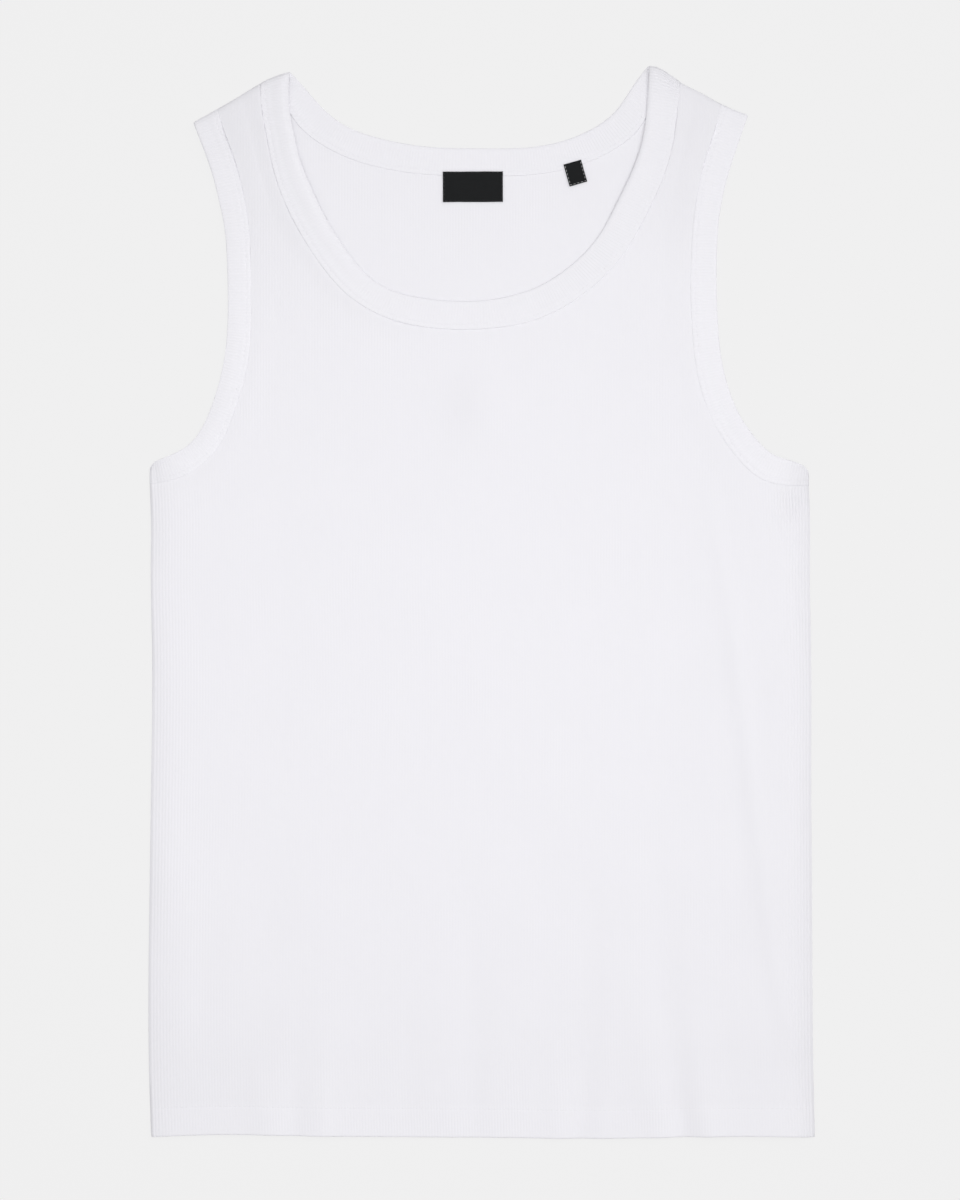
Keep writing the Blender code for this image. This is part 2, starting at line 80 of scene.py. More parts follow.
# ---------------------------------------------------------------- outline tables, mm: the part's own
SHOULDER_LEFT = (
    (-196.5, 326.0),
    (-180.0, 335.0),
    (-164.5, 344.0),
    (-150.5, 352.5),
    (-140.0, 357.5),
    (-130.5, 360.5),
)
SHOULDER_RIGHT = (
    (181.0, 331.0),
    (162.5, 338.5),
    (148.0, 346.5),
    (134.5, 353.5),
    (126.5, 359.5),
    (119.0, 363.5),
    (113.0, 364.5),
)
SIDE_LEFT = (
    (-226.0, 94.0),
    (-226.0, 79.5),
    (-225.3, 62.0),
    (-225.3, 20.0),
    (-224.5, -26.0),
    (-224.8, -107.5),
    (-226.2, -203.0),
    (-226.3, -325.5),
    (-225.0, -364.0),
)
SIDE_RIGHT = (
    (222.5, 91.0),
    (222.3, 78.5),
    (223.0, 62.0),
    (223.0, 20.0),
    (223.8, -26.0),
    (224.0, -107.5),
    (224.5, -203.0),
    (225.5, -325.5),
    (226.5, -364.0),
)
HEM = (
    (-225.0, -364.0),
    (-192.0, -362.5),
    (-124.0, -363.0),
    (-56.0, -364.0),
    (12.0, -364.5),
    (80.0, -365.0),
    (148.0, -363.8),
    (202.5, -363.5),
    (226.5, -364.0),
)
# Bands, as cross-cuts: free edge x, y, seam x, y
NECK_FRONT = (
    (-130.5, 360.5, -150.5, 352.5),
    (-131.0, 341.0, -150.5, 340.5),
    (-128.0, 320.5, -147.0, 318.5),
    (-123.0, 300.5, -142.0, 294.0),
    (-114.5, 280.0, -134.0, 271.0),
    (-104.5, 259.5, -123.0, 249.5),
    (-91.0, 239.0, -107.5, 226.0),
    (-76.0, 221.5, -89.0, 206.5),
    (-56.0, 210.5, -62.5, 192.0),
    (-32.0, 205.5, -34.5, 186.0),
    (-8.0, 204.5, -9.0, 185.0),
    (12.0, 206.5, 16.5, 187.0),
    (32.5, 212.5, 40.0, 193.0),
    (53.0, 224.0, 65.5, 206.5),
    (80.0, 251.0, 98.5, 240.0),
    (91.0, 271.5, 111.5, 262.5),
    (100.0, 290.0, 120.5, 281.5),
    (107.5, 310.5, 128.5, 305.0),
    (111.0, 331.0, 132.5, 329.0),
    (113.0, 364.5, 134.5, 353.5),
)
NECK_BACK = (
    (-130.5, 360.5, -150.5, 352.5),
    (-124.0, 353.5, -138.5, 342.0),
    (-110.0, 337.5, -125.0, 324.0),
    (-90.0, 322.5, -98.5, 305.0),
    (-66.0, 314.5, -70.5, 295.5),
    (-35.5, 309.5, -37.5, 290.5),
    (-1.5, 308.5, -1.5, 289.5),
    (29.0, 309.0, 30.5, 290.0),
    (53.0, 313.0, 58.5, 294.5),
    (73.5, 321.0, 83.5, 304.0),
    (90.5, 333.5, 104.5, 319.0),
    (103.5, 352.0, 120.0, 340.5),
    (113.0, 364.5, 134.5, 353.5),
)
ARMHOLE_LEFT = (
    (-196.5, 326.0, -180.0, 335.0),
    (-192.0, 314.5, -175.5, 321.0),
    (-185.0, 295.5, -168.0, 300.5),
    (-179.0, 273.0, -162.0, 277.0),
    (-175.0, 252.5, -158.5, 254.5),
    (-173.3, 227.0, -157.2, 227.5),
    (-172.8, 205.0, -157.0, 205.0),
    (-173.5, 181.5, -157.3, 180.0),
    (-176.8, 157.5, -161.3, 152.5),
    (-182.5, 137.0, -167.5, 132.0),
    (-189.5, 120.0, -176.0, 110.5),
    (-199.0, 107.0, -189.0, 94.5),
    (-212.0, 99.5, -205.0, 84.5),
    (-226.0, 94.0, -226.0, 79.5),
)
ARMHOLE_RIGHT = (
    (181.0, 331.0, 162.5, 338.5),
    (175.5, 315.0, 158.0, 320.5),
    (169.5, 297.0, 152.0, 302.0),
    (164.0, 276.5, 147.0, 280.5),
    (161.2, 259.5, 144.0, 261.0),
    (159.8, 239.0, 142.3, 239.5),
    (159.6, 212.0, 141.7, 212.0),
    (160.8, 184.5, 143.0, 182.5),
    (163.3, 163.0, 145.5, 159.5),
    (169.5, 140.0, 152.3, 133.5),
    (177.5, 123.0, 162.0, 113.5),
    (187.5, 109.5, 173.0, 98.0),
    (199.0, 99.5, 190.0, 83.0),
    (211.0, 95.5, 206.5, 79.0),
    (222.5, 91.0, 222.3, 78.5),
)

# ---------------------------------------------------------------- creases, mm
# Each crease is a run of stations: x, y, half width, height (below 0 for a trough)
FRONT_CREASES = {
    "long right ridge": (
        (148.0, 84.0, 6.5, 0.0),
        (156.0, 61.0, 7.0, 0.5),
        (167.0, 10.0, 7.0, 0.9),
        (178.0, -78.0, 7.0, 1.2),
        (185.0, -136.0, 7.0, 1.2),
        (192.0, -196.0, 7.0, 1.0),
        (199.0, -246.0, 7.0, 0.85),
        (208.0, -292.0, 7.0, 0.5),
        (214.0, -325.0, 6.0, 0.0),
    ),
    "right trough beside it": (
        (155.0, 8.0, 11.0, 0.0),
        (158.0, -24.0, 11.0, -0.2),
        (165.0, -84.0, 12.0, -0.4),
        (172.0, -136.0, 12.0, -0.5),
        (179.0, -194.0, 12.0, -0.5),
        (187.0, -244.0, 12.0, -0.55),
        (198.0, -290.0, 11.0, -0.6),
        (209.0, -330.0, 9.0, 0.0),
    ),
    "deep hem trough": (
        (116.0, -140.0, 10.0, 0.0),
        (120.0, -200.0, 12.5, -1.1),
        (125.0, -262.0, 13.0, -1.9),
        (129.0, -308.0, 12.0, -2.7),
        (133.0, -342.0, 10.5, -3.6),
        (137.0, -366.0, 10.5, -4.2),
    ),
    "hump right of it": (
        (146.0, -270.0, 8.0, 0.0),
        (151.0, -325.0, 8.0, 0.45),
        (154.5, -350.0, 8.5, 0.7),
        (155.5, -366.0, 8.5, 0.7),
    ),
    "right middle trough": (
        (76.0, -160.0, 10.0, 0.0),
        (74.0, -215.0, 12.0, -0.6),
        (71.0, -285.0, 12.0, -1.25),
        (68.5, -330.0, 11.0, -2.1),
        (67.5, -366.0, 10.5, -2.6),
    ),
    "right middle hump": (
        (46.0, -270.0, 9.0, 0.0),
        (49.0, -320.0, 9.0, 0.3),
        (50.5, -345.0, 9.0, 0.7),
        (51.0, -366.0, 9.0, 0.6),
    ),
    "middle trough": (
        (-9.0, -170.0, 11.0, 0.0),
        (-8.0, -225.0, 12.5, -0.6),
        (-6.0, -290.0, 12.5, -1.15),
        (-6.0, -340.0, 11.5, -1.35),
        (-6.0, -366.0, 11.0, -1.0),
    ),
    "left middle trough": (
        (-47.0, -250.0, 8.0, 0.0),
        (-50.0, -300.0, 9.0, -0.35),
        (-52.0, -345.0, 9.0, -0.3),
        (-52.0, -366.0, 9.0, -0.1),
    ),
    "left hump": (
        (-104.0, -270.0, 7.0, 0.0),
        (-106.5, -320.0, 7.0, 0.3),
        (-107.5, -345.0, 7.0, 0.75),
        (-108.0, -366.0, 7.0, 0.7),
    ),
    "left trough": (
        (-120.0, -240.0, 9.0, 0.0),
        (-124.0, -300.0, 10.5, -0.5),
        (-127.0, -340.0, 9.5, -1.5),
        (-127.5, -366.0, 9.0, -1.7),
    ),
    "far left hump": (
        (-156.0, -285.0, 9.0, 0.0),
        (-152.0, -330.0, 9.0, 0.35),
        (-148.0, -350.0, 9.0, 0.6),
        (-147.0, -366.0, 9.0, 0.6),
    ),
    "far left trough": (
        (-176.0, -170.0, 9.0, 0.0),
        (-183.0, -205.0, 10.0, -0.3),
        (-187.5, -265.0, 11.0, -0.35),
        (-184.0, -320.0, 11.0, -0.2),
        (-180.0, -350.0, 11.0, 0.0),
    ),
    "far left ridge": (
        (-196.0, -190.0, 8.0, 0.0),
        (-203.0, -240.0, 8.0, 0.25),
        (-206.0, -300.0, 8.0, 0.25),
        (-205.0, -335.0, 8.0, 0.0),
    ),
    "broad rise at the lower left": (
        (-112.0, -150.0, 48.0, 0.0),
        (-118.0, -230.0, 52.0, 0.9),
        (-122.0, -310.0, 55.0, 2.0),
        (-122.0, -366.0, 55.0, 2.2),
    ),
    "chest dimple": (
        (-17.0, 176.0, 11.0, 0.0),
        (-17.0, 156.0, 13.0, -0.5),
        (-16.0, 132.0, 15.0, -0.85),
        (-15.0, 112.0, 14.0, -0.5),
        (-15.0, 94.0, 12.0, 0.0),
    ),
    "right underarm pucker": (
        (222.0, 66.0, 4.0, 0.5),
        (212.0, 58.0, 4.5, 0.35),
        (200.0, 50.0, 5.0, 0.0),
    ),
    "right underarm hollow": (
        (223.0, 74.0, 3.5, -0.9),
        (212.0, 72.0, 4.5, -0.5),
        (198.0, 70.0, 5.0, 0.0),
    ),
    "left underarm pucker": (
        (-225.0, 62.0, 4.0, 0.4),
        (-214.0, 66.0, 4.5, 0.25),
        (-202.0, 71.0, 5.0, 0.0),
    ),
}
# The back lies on the ground, so its creases are soft hollows in the underside
BACK_CREASES = {
    "left long hollow": (
        (-150.0, 60.0, 7.0, 0.0),
        (-163.0, -20.0, 8.0, -0.4),
        (-176.0, -130.0, 8.0, -0.55),
        (-188.0, -240.0, 8.0, -0.45),
        (-198.0, -310.0, 8.0, 0.0),
    ),
    "hem hollow left": (
        (-92.0, -210.0, 9.0, 0.0),
        (-96.0, -290.0, 10.0, -0.45),
        (-104.0, -340.0, 10.0, -0.6),
        (-106.0, -366.0, 10.0, -0.5),
    ),
    "hem hollow middle": (
        (14.0, -240.0, 9.0, 0.0),
        (12.0, -310.0, 10.0, -0.4),
        (8.0, -345.0, 10.0, -0.5),
        (7.0, -366.0, 10.0, -0.4),
    ),
    "hem hollow right": (
        (122.0, -190.0, 9.0, 0.0),
        (118.0, -280.0, 10.0, -0.5),
        (110.0, -340.0, 10.0, -0.6),
        (108.0, -366.0, 10.0, -0.5),
    ),
    "shoulder hollow": (
        (60.0, 250.0, 9.0, 0.0),
        (40.0, 190.0, 12.0, -0.35),
        (8.0, 130.0, 12.0, -0.4),
        (-20.0, 80.0, 10.0, 0.0),
    ),
}
# Labels inside the back neck: middle x, y, width, height, turn in degrees
BRAND_LABEL = (-6.2, 282.2, 40.8, 20.6, 0.2)
SIZE_LABEL = (63.5, 291.5, 12.4, 15.4, 16.0)
LABEL_CLOTH = 0.7


# ---------------------------------------------------------------- curves
def smooth_step(t):
    t = np.clip(t, 0.0, 1.0)
    return t * t * (3.0 - 2.0 * t)


def curve(rows):
    """A smooth line through the rows. Returns each row's distance along it and a function of that distance."""
    p = np.array(rows, float)
    middle = p if p.shape[1] == 2 else (p[:, :2] + p[:, 2:]) / 2
    t = np.concatenate([[0.0], np.cumsum(np.linalg.norm(np.diff(middle, axis=0), axis=1))])
    n, h = len(t), np.diff(t)
    a, b = np.eye(n), np.zeros(p.shape)
    for i in range(1, n - 1):
        a[i, i - 1 : i + 2] = h[i - 1], 2 * (h[i - 1] + h[i]), h[i]
        b[i] = 6 * ((p[i + 1] - p[i]) / h[i] - (p[i] - p[i - 1]) / h[i - 1])
    m = np.linalg.solve(a, b)

    def at(s):
        s = np.atleast_1d(np.asarray(s, float))
        k = np.clip(np.searchsorted(t, s) - 1, 0, n - 2)
        u, v, w = (s - t[k])[:, None], (t[k + 1] - s)[:, None], h[k][:, None]
        bend = (m[k] * v**3 + m[k + 1] * u**3) / (6 * w)
        return bend + (p[k] / w - m[k] * w / 6) * v + (p[k + 1] / w - m[k + 1] * w / 6) * u

    return t, at


def fine_line(rows, ends=25.0, step=2.0):
    t, at = curve(rows)
    p = at(np.linspace(0.0, t[-1], int(t[-1] / step) + 2))
    first, last = p[0] - p[1], p[-1] - p[-2]
    first, last = first / np.linalg.norm(first), last / np.linalg.norm(last)
    return np.vstack([p[0] + first * ends, p, p[-1] + last * ends])


def nearest(points, line, reach=40.0):
    """Distance from each point to a line of short segments, how far along it that is, and the line's direction there.
    Points further than reach are given as far away."""
    dist = np.full(len(points), 1e3)
    along = np.zeros(len(points))
    way = np.zeros((len(points), 2))
    way[:, 0] = 1.0
    lo, hi = line.min(0) - reach, line.max(0) + reach
    idx = np.nonzero(((points >= lo) & (points <= hi)).all(1))[0]
    a = line[:-1]
    d = line[1:] - a
    length2 = (d * d).sum(1)
    start = np.concatenate([[0.0], np.cumsum(np.sqrt(length2))])
    for k in range(0, len(idx), 3000):
        part = idx[k : k + 3000]
        rx = points[part, 0][:, None] - a[None, :, 0]
        ry = points[part, 1][:, None] - a[None, :, 1]
        t = np.clip((rx * d[:, 0] + ry * d[:, 1]) / length2, 0.0, 1.0)
        gap = (rx - t * d[:, 0]) ** 2 + (ry - t * d[:, 1]) ** 2
        j = gap.argmin(1)
        rows = np.arange(len(part))
        dist[part] = np.sqrt(gap[rows, j])
        along[part] = start[j] + t[rows, j] * np.sqrt(length2[j])
        way[part] = d[j] / np.sqrt(length2[j])[:, None]
    return dist, along, way


FOLDS = {
    "shoulder_left": SHOULDER_LEFT,
    "shoulder_right": SHOULDER_RIGHT,
    "side_left": SIDE_LEFT,
    "side_right": SIDE_RIGHT,
}
FOLD_LINES = {name: fine_line(rows, step=1.0) for name, rows in FOLDS.items()}
BODY_MIDDLE = np.array([0.0, 100.0])


def fold_near(p):
    """Distance from each point to the nearest fold, and the outward direction there."""
    best = np.full(len(p), 1e3)
    out = np.zeros((len(p), 2))
    for line in FOLD_LINES.values():
        d, _, along = nearest(p, line, reach=100.0)
        normal = np.stack([along[:, 1], -along[:, 0]], 1)
        normal *= np.sign(((p - BODY_MIDDLE) * normal).sum(1))[:, None]
        closer = d < best
        best[closer], out[closer] = d[closer], normal[closer]
    best[best < 0.03] = 0.0
    return best, out


def fold_points(fold, row_a, row_b, share):
    t, at = curve(FOLDS[fold])
    return at(t[row_a] + (t[row_b] - t[row_a]) * np.asarray(share))


RINGS = {
    "neck_band": (
        (NECK_FRONT, ("shoulder_left", 5, 3), ("shoulder_right", 6, 3)),
        (NECK_BACK, ("shoulder_left", 5, 3), ("shoulder_right", 6, 3)),
    ),
    "armhole_band_left": (
        (ARMHOLE_LEFT, ("shoulder_left", 0, 1), ("side_left", 0, 1)),
        (ARMHOLE_LEFT, ("shoulder_left", 0, 1), ("side_left", 0, 1)),
    ),
    "armhole_band_right": (
        (ARMHOLE_RIGHT, ("shoulder_right", 0, 1), ("side_right", 0, 1)),
        (ARMHOLE_RIGHT, ("shoulder_right", 0, 1), ("side_right", 0, 1)),
    ),
}
END_RUN = 14.0


def cross_cuts(run, s, share):
    """Plan points of a band at the distances s along it and the shares across it: array [s, share, xy].
    A share runs from 0 at the free edge to 1 at the seam. The cuts turn onto the fold lines at the two ends."""
    table, start, end = run
    t, at = curve(table)
    cut = at(s)
    free, seam = cut[:, None, :2], cut[:, None, 2:]
    u = np.broadcast_to(share, (len(s), np.shape(share)[-1]))
    points = free * (1 - u[..., None]) + seam * u[..., None]
    ends = at([0.0, t[-1]])
    for (fold, row_free, row_seam), which, away in ((start, 0, s), (end, 1, t[-1] - s)):
        near = away < END_RUN
        if not near.any():
            continue
        shares = u[near].reshape(-1)
        target = fold_points(fold, row_free, row_seam, shares).reshape(near.sum(), -1, 2)
        straight = ends[which, None, None, :2] * (1 - u[near][..., None]) + ends[which, None, None, 2:] * u[near][..., None]
        pull = 1.0 - smooth_step(away[near] / END_RUN)
        points[near] += (target - straight) * pull[:, None, None]
    return points


def band_length(run):
    return curve(run[0])[0][-1]


def seam_line(run, share=1.0, step=0.5):
    s = np.linspace(0.0, band_length(run), int(band_length(run) / step))
    return cross_cuts(run, s, np.array([share]))[:, 0]


SEAM_FRONT_NECK = seam_line(RINGS["neck_band"][0])
SEAM_BACK_NECK = seam_line(RINGS["neck_band"][1])
SEAM_ARM_LEFT = seam_line(RINGS["armhole_band_left"][0])
SEAM_ARM_RIGHT = seam_line(RINGS["armhole_band_right"][0])
HEM_LINE = fine_line(HEM, ends=4.0, step=1.0)


def hem_y(x):
    return np.interp(x, HEM_LINE[:, 0], HEM_LINE[:, 1])


def side_x(rows):
    line = fine_line(rows, ends=0.5, step=1.0)
    order = np.argsort(line[:, 1])
    return lambda y: np.interp(y, line[order, 1], line[order, 0])


LEFT_X, RIGHT_X = side_x(SIDE_LEFT), side_x(SIDE_RIGHT)


def sway(s, seed, *lengths):
    """A slow, uneven wave of height about 1: one sine for each wave length, with its phase from the seed."""
    turn = np.random.default_rng(seed).uniform(0.0, 2.0 * math.pi, len(lengths))
    total = sum(np.sin(2.0 * math.pi * np.asarray(s) / w + k) for w, k in zip(lengths, turn))
    return total / math.sqrt(len(lengths))


# ---------------------------------------------------------------- ribs
WIDE = 449.0  # the panels' usual width, which sets the number of ribs
_x = np.linspace(0.0, WIDE, 4001)
_pitch = RIB + (RIB_BY_SIDE - RIB) * (np.exp(-((_x / 20.0) ** 2)) + np.exp(-(((WIDE - _x) / 20.0) ** 2)))
_count = np.concatenate([[0.0], np.cumsum((1.0 / _pitch[1:] + 1.0 / _pitch[:-1]) / 2 * np.diff(_x))])
RIBS = int(round(_count[-1]))
_count *= RIBS / _count[-1]


def rib_to_x(rib, y):
    share = np.interp(rib, _count, _x) / WIDE
    left, right = LEFT_X(y), RIGHT_X(y)
    return left + (right - left) * share


def x_to_rib(x, y):
    left, right = LEFT_X(y), RIGHT_X(y)
    return np.interp((x - left) / (right - left) * WIDE, _x, _count)


def rib_relief(rib):
    """0 on the top of a rib, 1 at the bottom of the groove between two."""
    return 1.0 - np.abs(np.sin(math.pi * rib)) ** 0.9


def opened(d_side):
    """How far the ribs are pulled open: 1 beside a side fold, 0 in the middle of a panel."""
    return np.exp(-((d_side / 13.0) ** 2))


# ---------------------------------------------------------------- heights
def rounding(d, reach=FOLD_REACH):
    return np.sqrt(1.0 - (1.0 - np.clip(d / reach, 0.0, 1.0)) ** 2)


MOUND = 2.6
HOLLOWS = ("right trough beside it",)  # these lie in cloth that stands high already, and need no rise beside them


def crease_height(p, creases):
    total = np.zeros(len(p))
    for name, rows in creases.items():
        rows = np.array(rows)
        line = rows[:, :2]
        mound = rows[:, 3].min() < 0 and name not in HOLLOWS
        d, along, _ = nearest(p, line, reach=3.0 * rows[:, 2].max() * (MOUND if mound else 1.0))
        at = np.concatenate([[0.0], np.cumsum(np.linalg.norm(np.diff(line, axis=0), axis=1))])
        half = np.interp(along, at, rows[:, 2])
        # heights are eased between stations
        k = np.clip(np.searchsorted(at, along) - 1, 0, len(at) - 2)
        t = smooth_step((along - at[k]) / (at[k + 1] - at[k]))
        high = rows[k, 3] * (1 - t) + rows[k + 1, 3] * t
        near = d < 3.0 * half
        total[near] += (high * np.exp(-((d / half) ** 2)))[near]
        # the cloth stands up on both sides of a trough, so that the trough's bottom just meets the layer under it
        if not mound:
            continue
        wide = MOUND * half
        near = d < 3.0 * wide
        total[near] -= (np.minimum(high, 0.0) * np.exp(-((d / wide) ** 2)))[near]
    return total


def seam_wave(p, lines, seeds):
    """Small puckers where a panel is gathered onto a band, 1 at most, dying away from the seam."""
    total = np.zeros(len(p))
    for line, seed in zip(lines, seeds):
        d, along, _ = nearest(p, line, reach=20.0)
        wave = 0.6 * sway(along, seed, 9.0, 13.7, 23.0)
        total += wave * np.exp(-((d / 6.0) ** 2)) * (d < 20)
    return total


def gathered(p):
    """Where the ribs are drawn together under the armholes: 1 at most, on the right."""
    right = np.exp(-(((p[:, 0] - 212.0) / 13.0) ** 2 + ((p[:, 1] - 66.0) / 18.0) ** 2))
    left = 0.35 * np.exp(-(((p[:, 0] + 218.0) / 8.0) ** 2 + ((p[:, 1] - 68.0) / 18.0) ** 2))
    return right + left


def strap_part(p):
    """0 on the body, 1 on the straps."""
    start = np.where(p[:, 0] < 0.0, 168.0, 220.0)
    return smooth_step((p[:, 1] - start) / (287.0 - start))


def lower_left_neck(p):
    return np.exp(-(((p[:, 0] + 98.0) / 30.0) ** 2 + ((p[:, 1] - 235.0) / 45.0) ** 2))


def body_side(p):
    """1 at the side folds, 0 at the shoulder folds."""
    return smooth_step((150.0 - p[:, 1]) / 60.0)


def fold_swell(p, d_fold):
    """How far the front stands up behind a fold."""
    right = p[:, 0] > 0.0
    at_side = np.where(right, RIGHT_SWELL + 0.6 * smooth_step((-90.0 - p[:, 1]) / 60.0), SIDE_SWELL)
    at_side *= np.where(right, 1.0, 1.0 + 0.2 * np.exp(-(((p[:, 1] + 88.0) / 40.0) ** 2)) - 0.25 * np.exp(-(((p[:, 1] + 325.0) / 50.0) ** 2)))
    swell = SHOULDER_SWELL + (at_side - SHOULDER_SWELL) * body_side(p)
    run = SWELL_RUN + np.where(right, 1.0, 0.0) + 6.0 * gathered(p) * right
    swell *= (1.0 - np.exp(-((d_fold / run) ** 1.2))) * (1.0 - smooth_step((d_fold - 17.0) / 75.0))
    return swell * (1.0 + 0.14 * sway(p[:, 1], 23, 83.0, 131.0, 210.0))


def fold_puff(p, d_fold):
    """The cloth's own roundness at a fold, which is wider over the shoulders."""
    side = body_side(p)
    return side * FOLD_PUFF * np.exp(-d_fold / 9.0) + (1.0 - side) * SHOULDER_PUFF * np.exp(-d_fold / 13.0)


def front_outer(p, d_fold, d_neck, d_arm):
    """The front panel's face before its ribs."""
    up = p[:, 1] - hem_y(p[:, 0])
    d_seam = np.minimum(d_neck, d_arm)
    by_neck = (SEAM_RISE + 0.3 * lower_left_neck(p)) * (1.0 - smooth_step(d_neck / SEAM_RUN))
    arm_rise = np.where(p[:, 0] < 0.0, 0.87, 1.12)
    by_arm = arm_rise * (1.0 - smooth_step(d_arm / 20.0))
    by_band = np.maximum(by_neck, by_arm)
    by_hem = HEM_RISE * (1.0 - smooth_step((up - HEM_STITCH + 2.0) / 32.0))
    level = FRONT_TOP + np.maximum(by_band, by_hem)
    level += crease_height(p, FRONT_CREASES)
    level += 0.16 * seam_wave(p, (SEAM_FRONT_NECK, SEAM_ARM_LEFT, SEAM_ARM_RIGHT), (3, 5, 8))
    level += 0.12 * sway(p[:, 0] * 0.9 + p[:, 1] * 0.25, 21, 61.0, 97.0, 143.0) * sway(p[:, 1], 22, 170.0, 260.0)
    side = body_side(p)
    by_seam = 0.55 + 0.2 * side
    swell = fold_swell(p, d_fold) * (by_seam + (1.0 - by_seam) * smooth_step(d_seam / 16.0))
    top = level + swell + fold_puff(p, d_fold)
    near_fold = 1.0 - smooth_step((d_fold - 7.0) / 14.0)
    top += np.maximum(FOLD_MIDDLE + 0.45 - top, 0.0) * near_fold  # the fold always turns down from above its middle
    return FOLD_MIDDLE + (top - FOLD_MIDDLE) * rounding(d_fold, 2.2 + 2.0 * (1.0 - side))


def side_distance(p):
    """Distance from each point to the nearer side fold."""
    return np.minimum(p[:, 0] - LEFT_X(p[:, 1]), RIGHT_X(p[:, 1]) - p[:, 0])


def back_outer(p, d_fold):
    """The back panel's underside before its ribs. It lies on the ground at height 0."""
    lift = np.maximum(-crease_height(p, BACK_CREASES), 0.0)
    return lift * smooth_step(d_fold / 10.0) + FOLD_MIDDLE * (1.0 - rounding(d_fold))


def band_outer(p, layer):
    d, _ = fold_near(p)
    if layer == "back":
        return FOLD_MIDDLE * (1.0 - rounding(d))
    side = body_side(p)
    at_shoulder = BULGE_BAND * (1.0 - smooth_step((d - FOLD_REACH) / BULGE_RUN))
    at_side = 0.75 * fold_swell(p, d) + FOLD_PUFF * np.exp(-d / 9.0)
    top = BAND_TOP + at_shoulder + (at_side - at_shoulder) * side
    return FOLD_MIDDLE + (top - FOLD_MIDDLE) * rounding(d, FOLD_REACH + 1.6 * (1.0 - side))


# ---------------------------------------------------------------- meshes
def unit(v):
    return v / np.maximum(np.linalg.norm(v, axis=-1, keepdims=True), 1e-12)


def make_object(name, points, faces, maps, material, sharp=50.0):
    """An object from points in millimetres, faces as an array of triangles or of quads, and named UV maps, each one
    value pair per face corner."""
    mesh = bpy.data.meshes.new(name)
    count, size = faces.shape
    mesh.vertices.add(len(points))
    mesh.vertices.foreach_set("co", (np.asarray(points, float) * MM).astype(np.float32).ravel())
    mesh.loops.add(count * size)
    mesh.loops.foreach_set("vertex_index", faces.astype(np.int32).ravel())
    mesh.polygons.add(count)
    mesh.polygons.foreach_set("loop_start", np.arange(0, count * size, size, dtype=np.int32))
    mesh.update(calc_edges=True)
    for key, values in maps.items():
        layer = mesh.uv_layers.new(name=key)
        layer.uv.foreach_set("vector", np.asarray(values, np.float32).ravel())
    mesh.validate()
    mesh.shade_smooth()
    mesh.set_sharp_from_angle(angle=math.radians(sharp))
    mesh.materials.append(material)
    ob = bpy.data.objects.new(name, mesh)
    bpy.context.scene.collection.objects.link(ob)
    return ob


def corner_values(faces, per_point):
    return per_point[faces.ravel()]


def volume_sign(points, tris):
    a, b, c = points[tris[:, 0]], points[tris[:, 1]], points[tris[:, 2]]
    return (a * np.cross(b, c)).sum()


def point_normals(points, tris):
    a, b, c = points[tris[:, 0]], points[tris[:, 1]], points[tris[:, 2]]
    face = np.cross(b - a, c - a)
    n = np.zeros_like(points)
    for k in range(3):
        np.add.at(n, tris[:, k], face)
    return unit(n)


# ---------------------------------------------------------------- panels
STEP_UP = 7.6  # from one row of points to the next on a panel


def to_grid(p):
    """Plan points in columns across and millimetres up."""
    return np.column_stack([x_to_rib(p[:, 0], p[:, 1]) * PER_RIB, p[:, 1]])


def to_plan(g):
    return np.column_stack([rib_to_x(g[:, 0] / PER_RIB, g[:, 1]), g[:, 1]])


def cut_at_columns(line, spacing):
    """A line's points where it crosses the columns, with more between them where those lie far apart."""
    g = to_grid(line)
    t = np.concatenate([[0.0], np.cumsum(np.linalg.norm(np.diff(line, axis=0), axis=1))])
    marks = [0.0, t[-1]]
    for k in range(len(g) - 1):
        a, b = g[k, 0], g[k + 1, 0]
        lo, hi = min(a, b), max(a, b)
        if hi - lo < 1e-9:
            continue
        for c in range(math.ceil(lo - 1e-9), math.floor(hi + 1e-9) + 1):
            marks.append(t[k] + (t[k + 1] - t[k]) * (c - a) / (b - a))
    marks = np.unique(np.round(marks, 4))
    keep = [marks[0]]
    for m in marks[1:-1]:
        if m - keep[-1] > 0.12 and marks[-1] - m > 0.12:
            keep.append(m)
    keep.append(marks[-1])
    full = [keep[0]]
    for m in keep[1:]:
        n = max(1, math.ceil((m - full[-1]) / spacing))
        full.extend(np.linspace(full[-1], m, n + 1)[1:])
    full = np.array(full)
    out = np.column_stack([np.interp(full, t, g[:, 0]), np.interp(full, t, g[:, 1])])
    on_column = np.abs(out[:, 0] - np.round(out[:, 0])) < 2e-3
    out[on_column, 0] = np.round(out[on_column, 0])
    return out


def fold_part(fold, row_a, row_b, step=0.5):
    t, at = curve(FOLDS[fold])
    a, b = t[row_a], t[row_b]
    return at(np.linspace(a, b, max(3, int(abs(b - a) / step))))


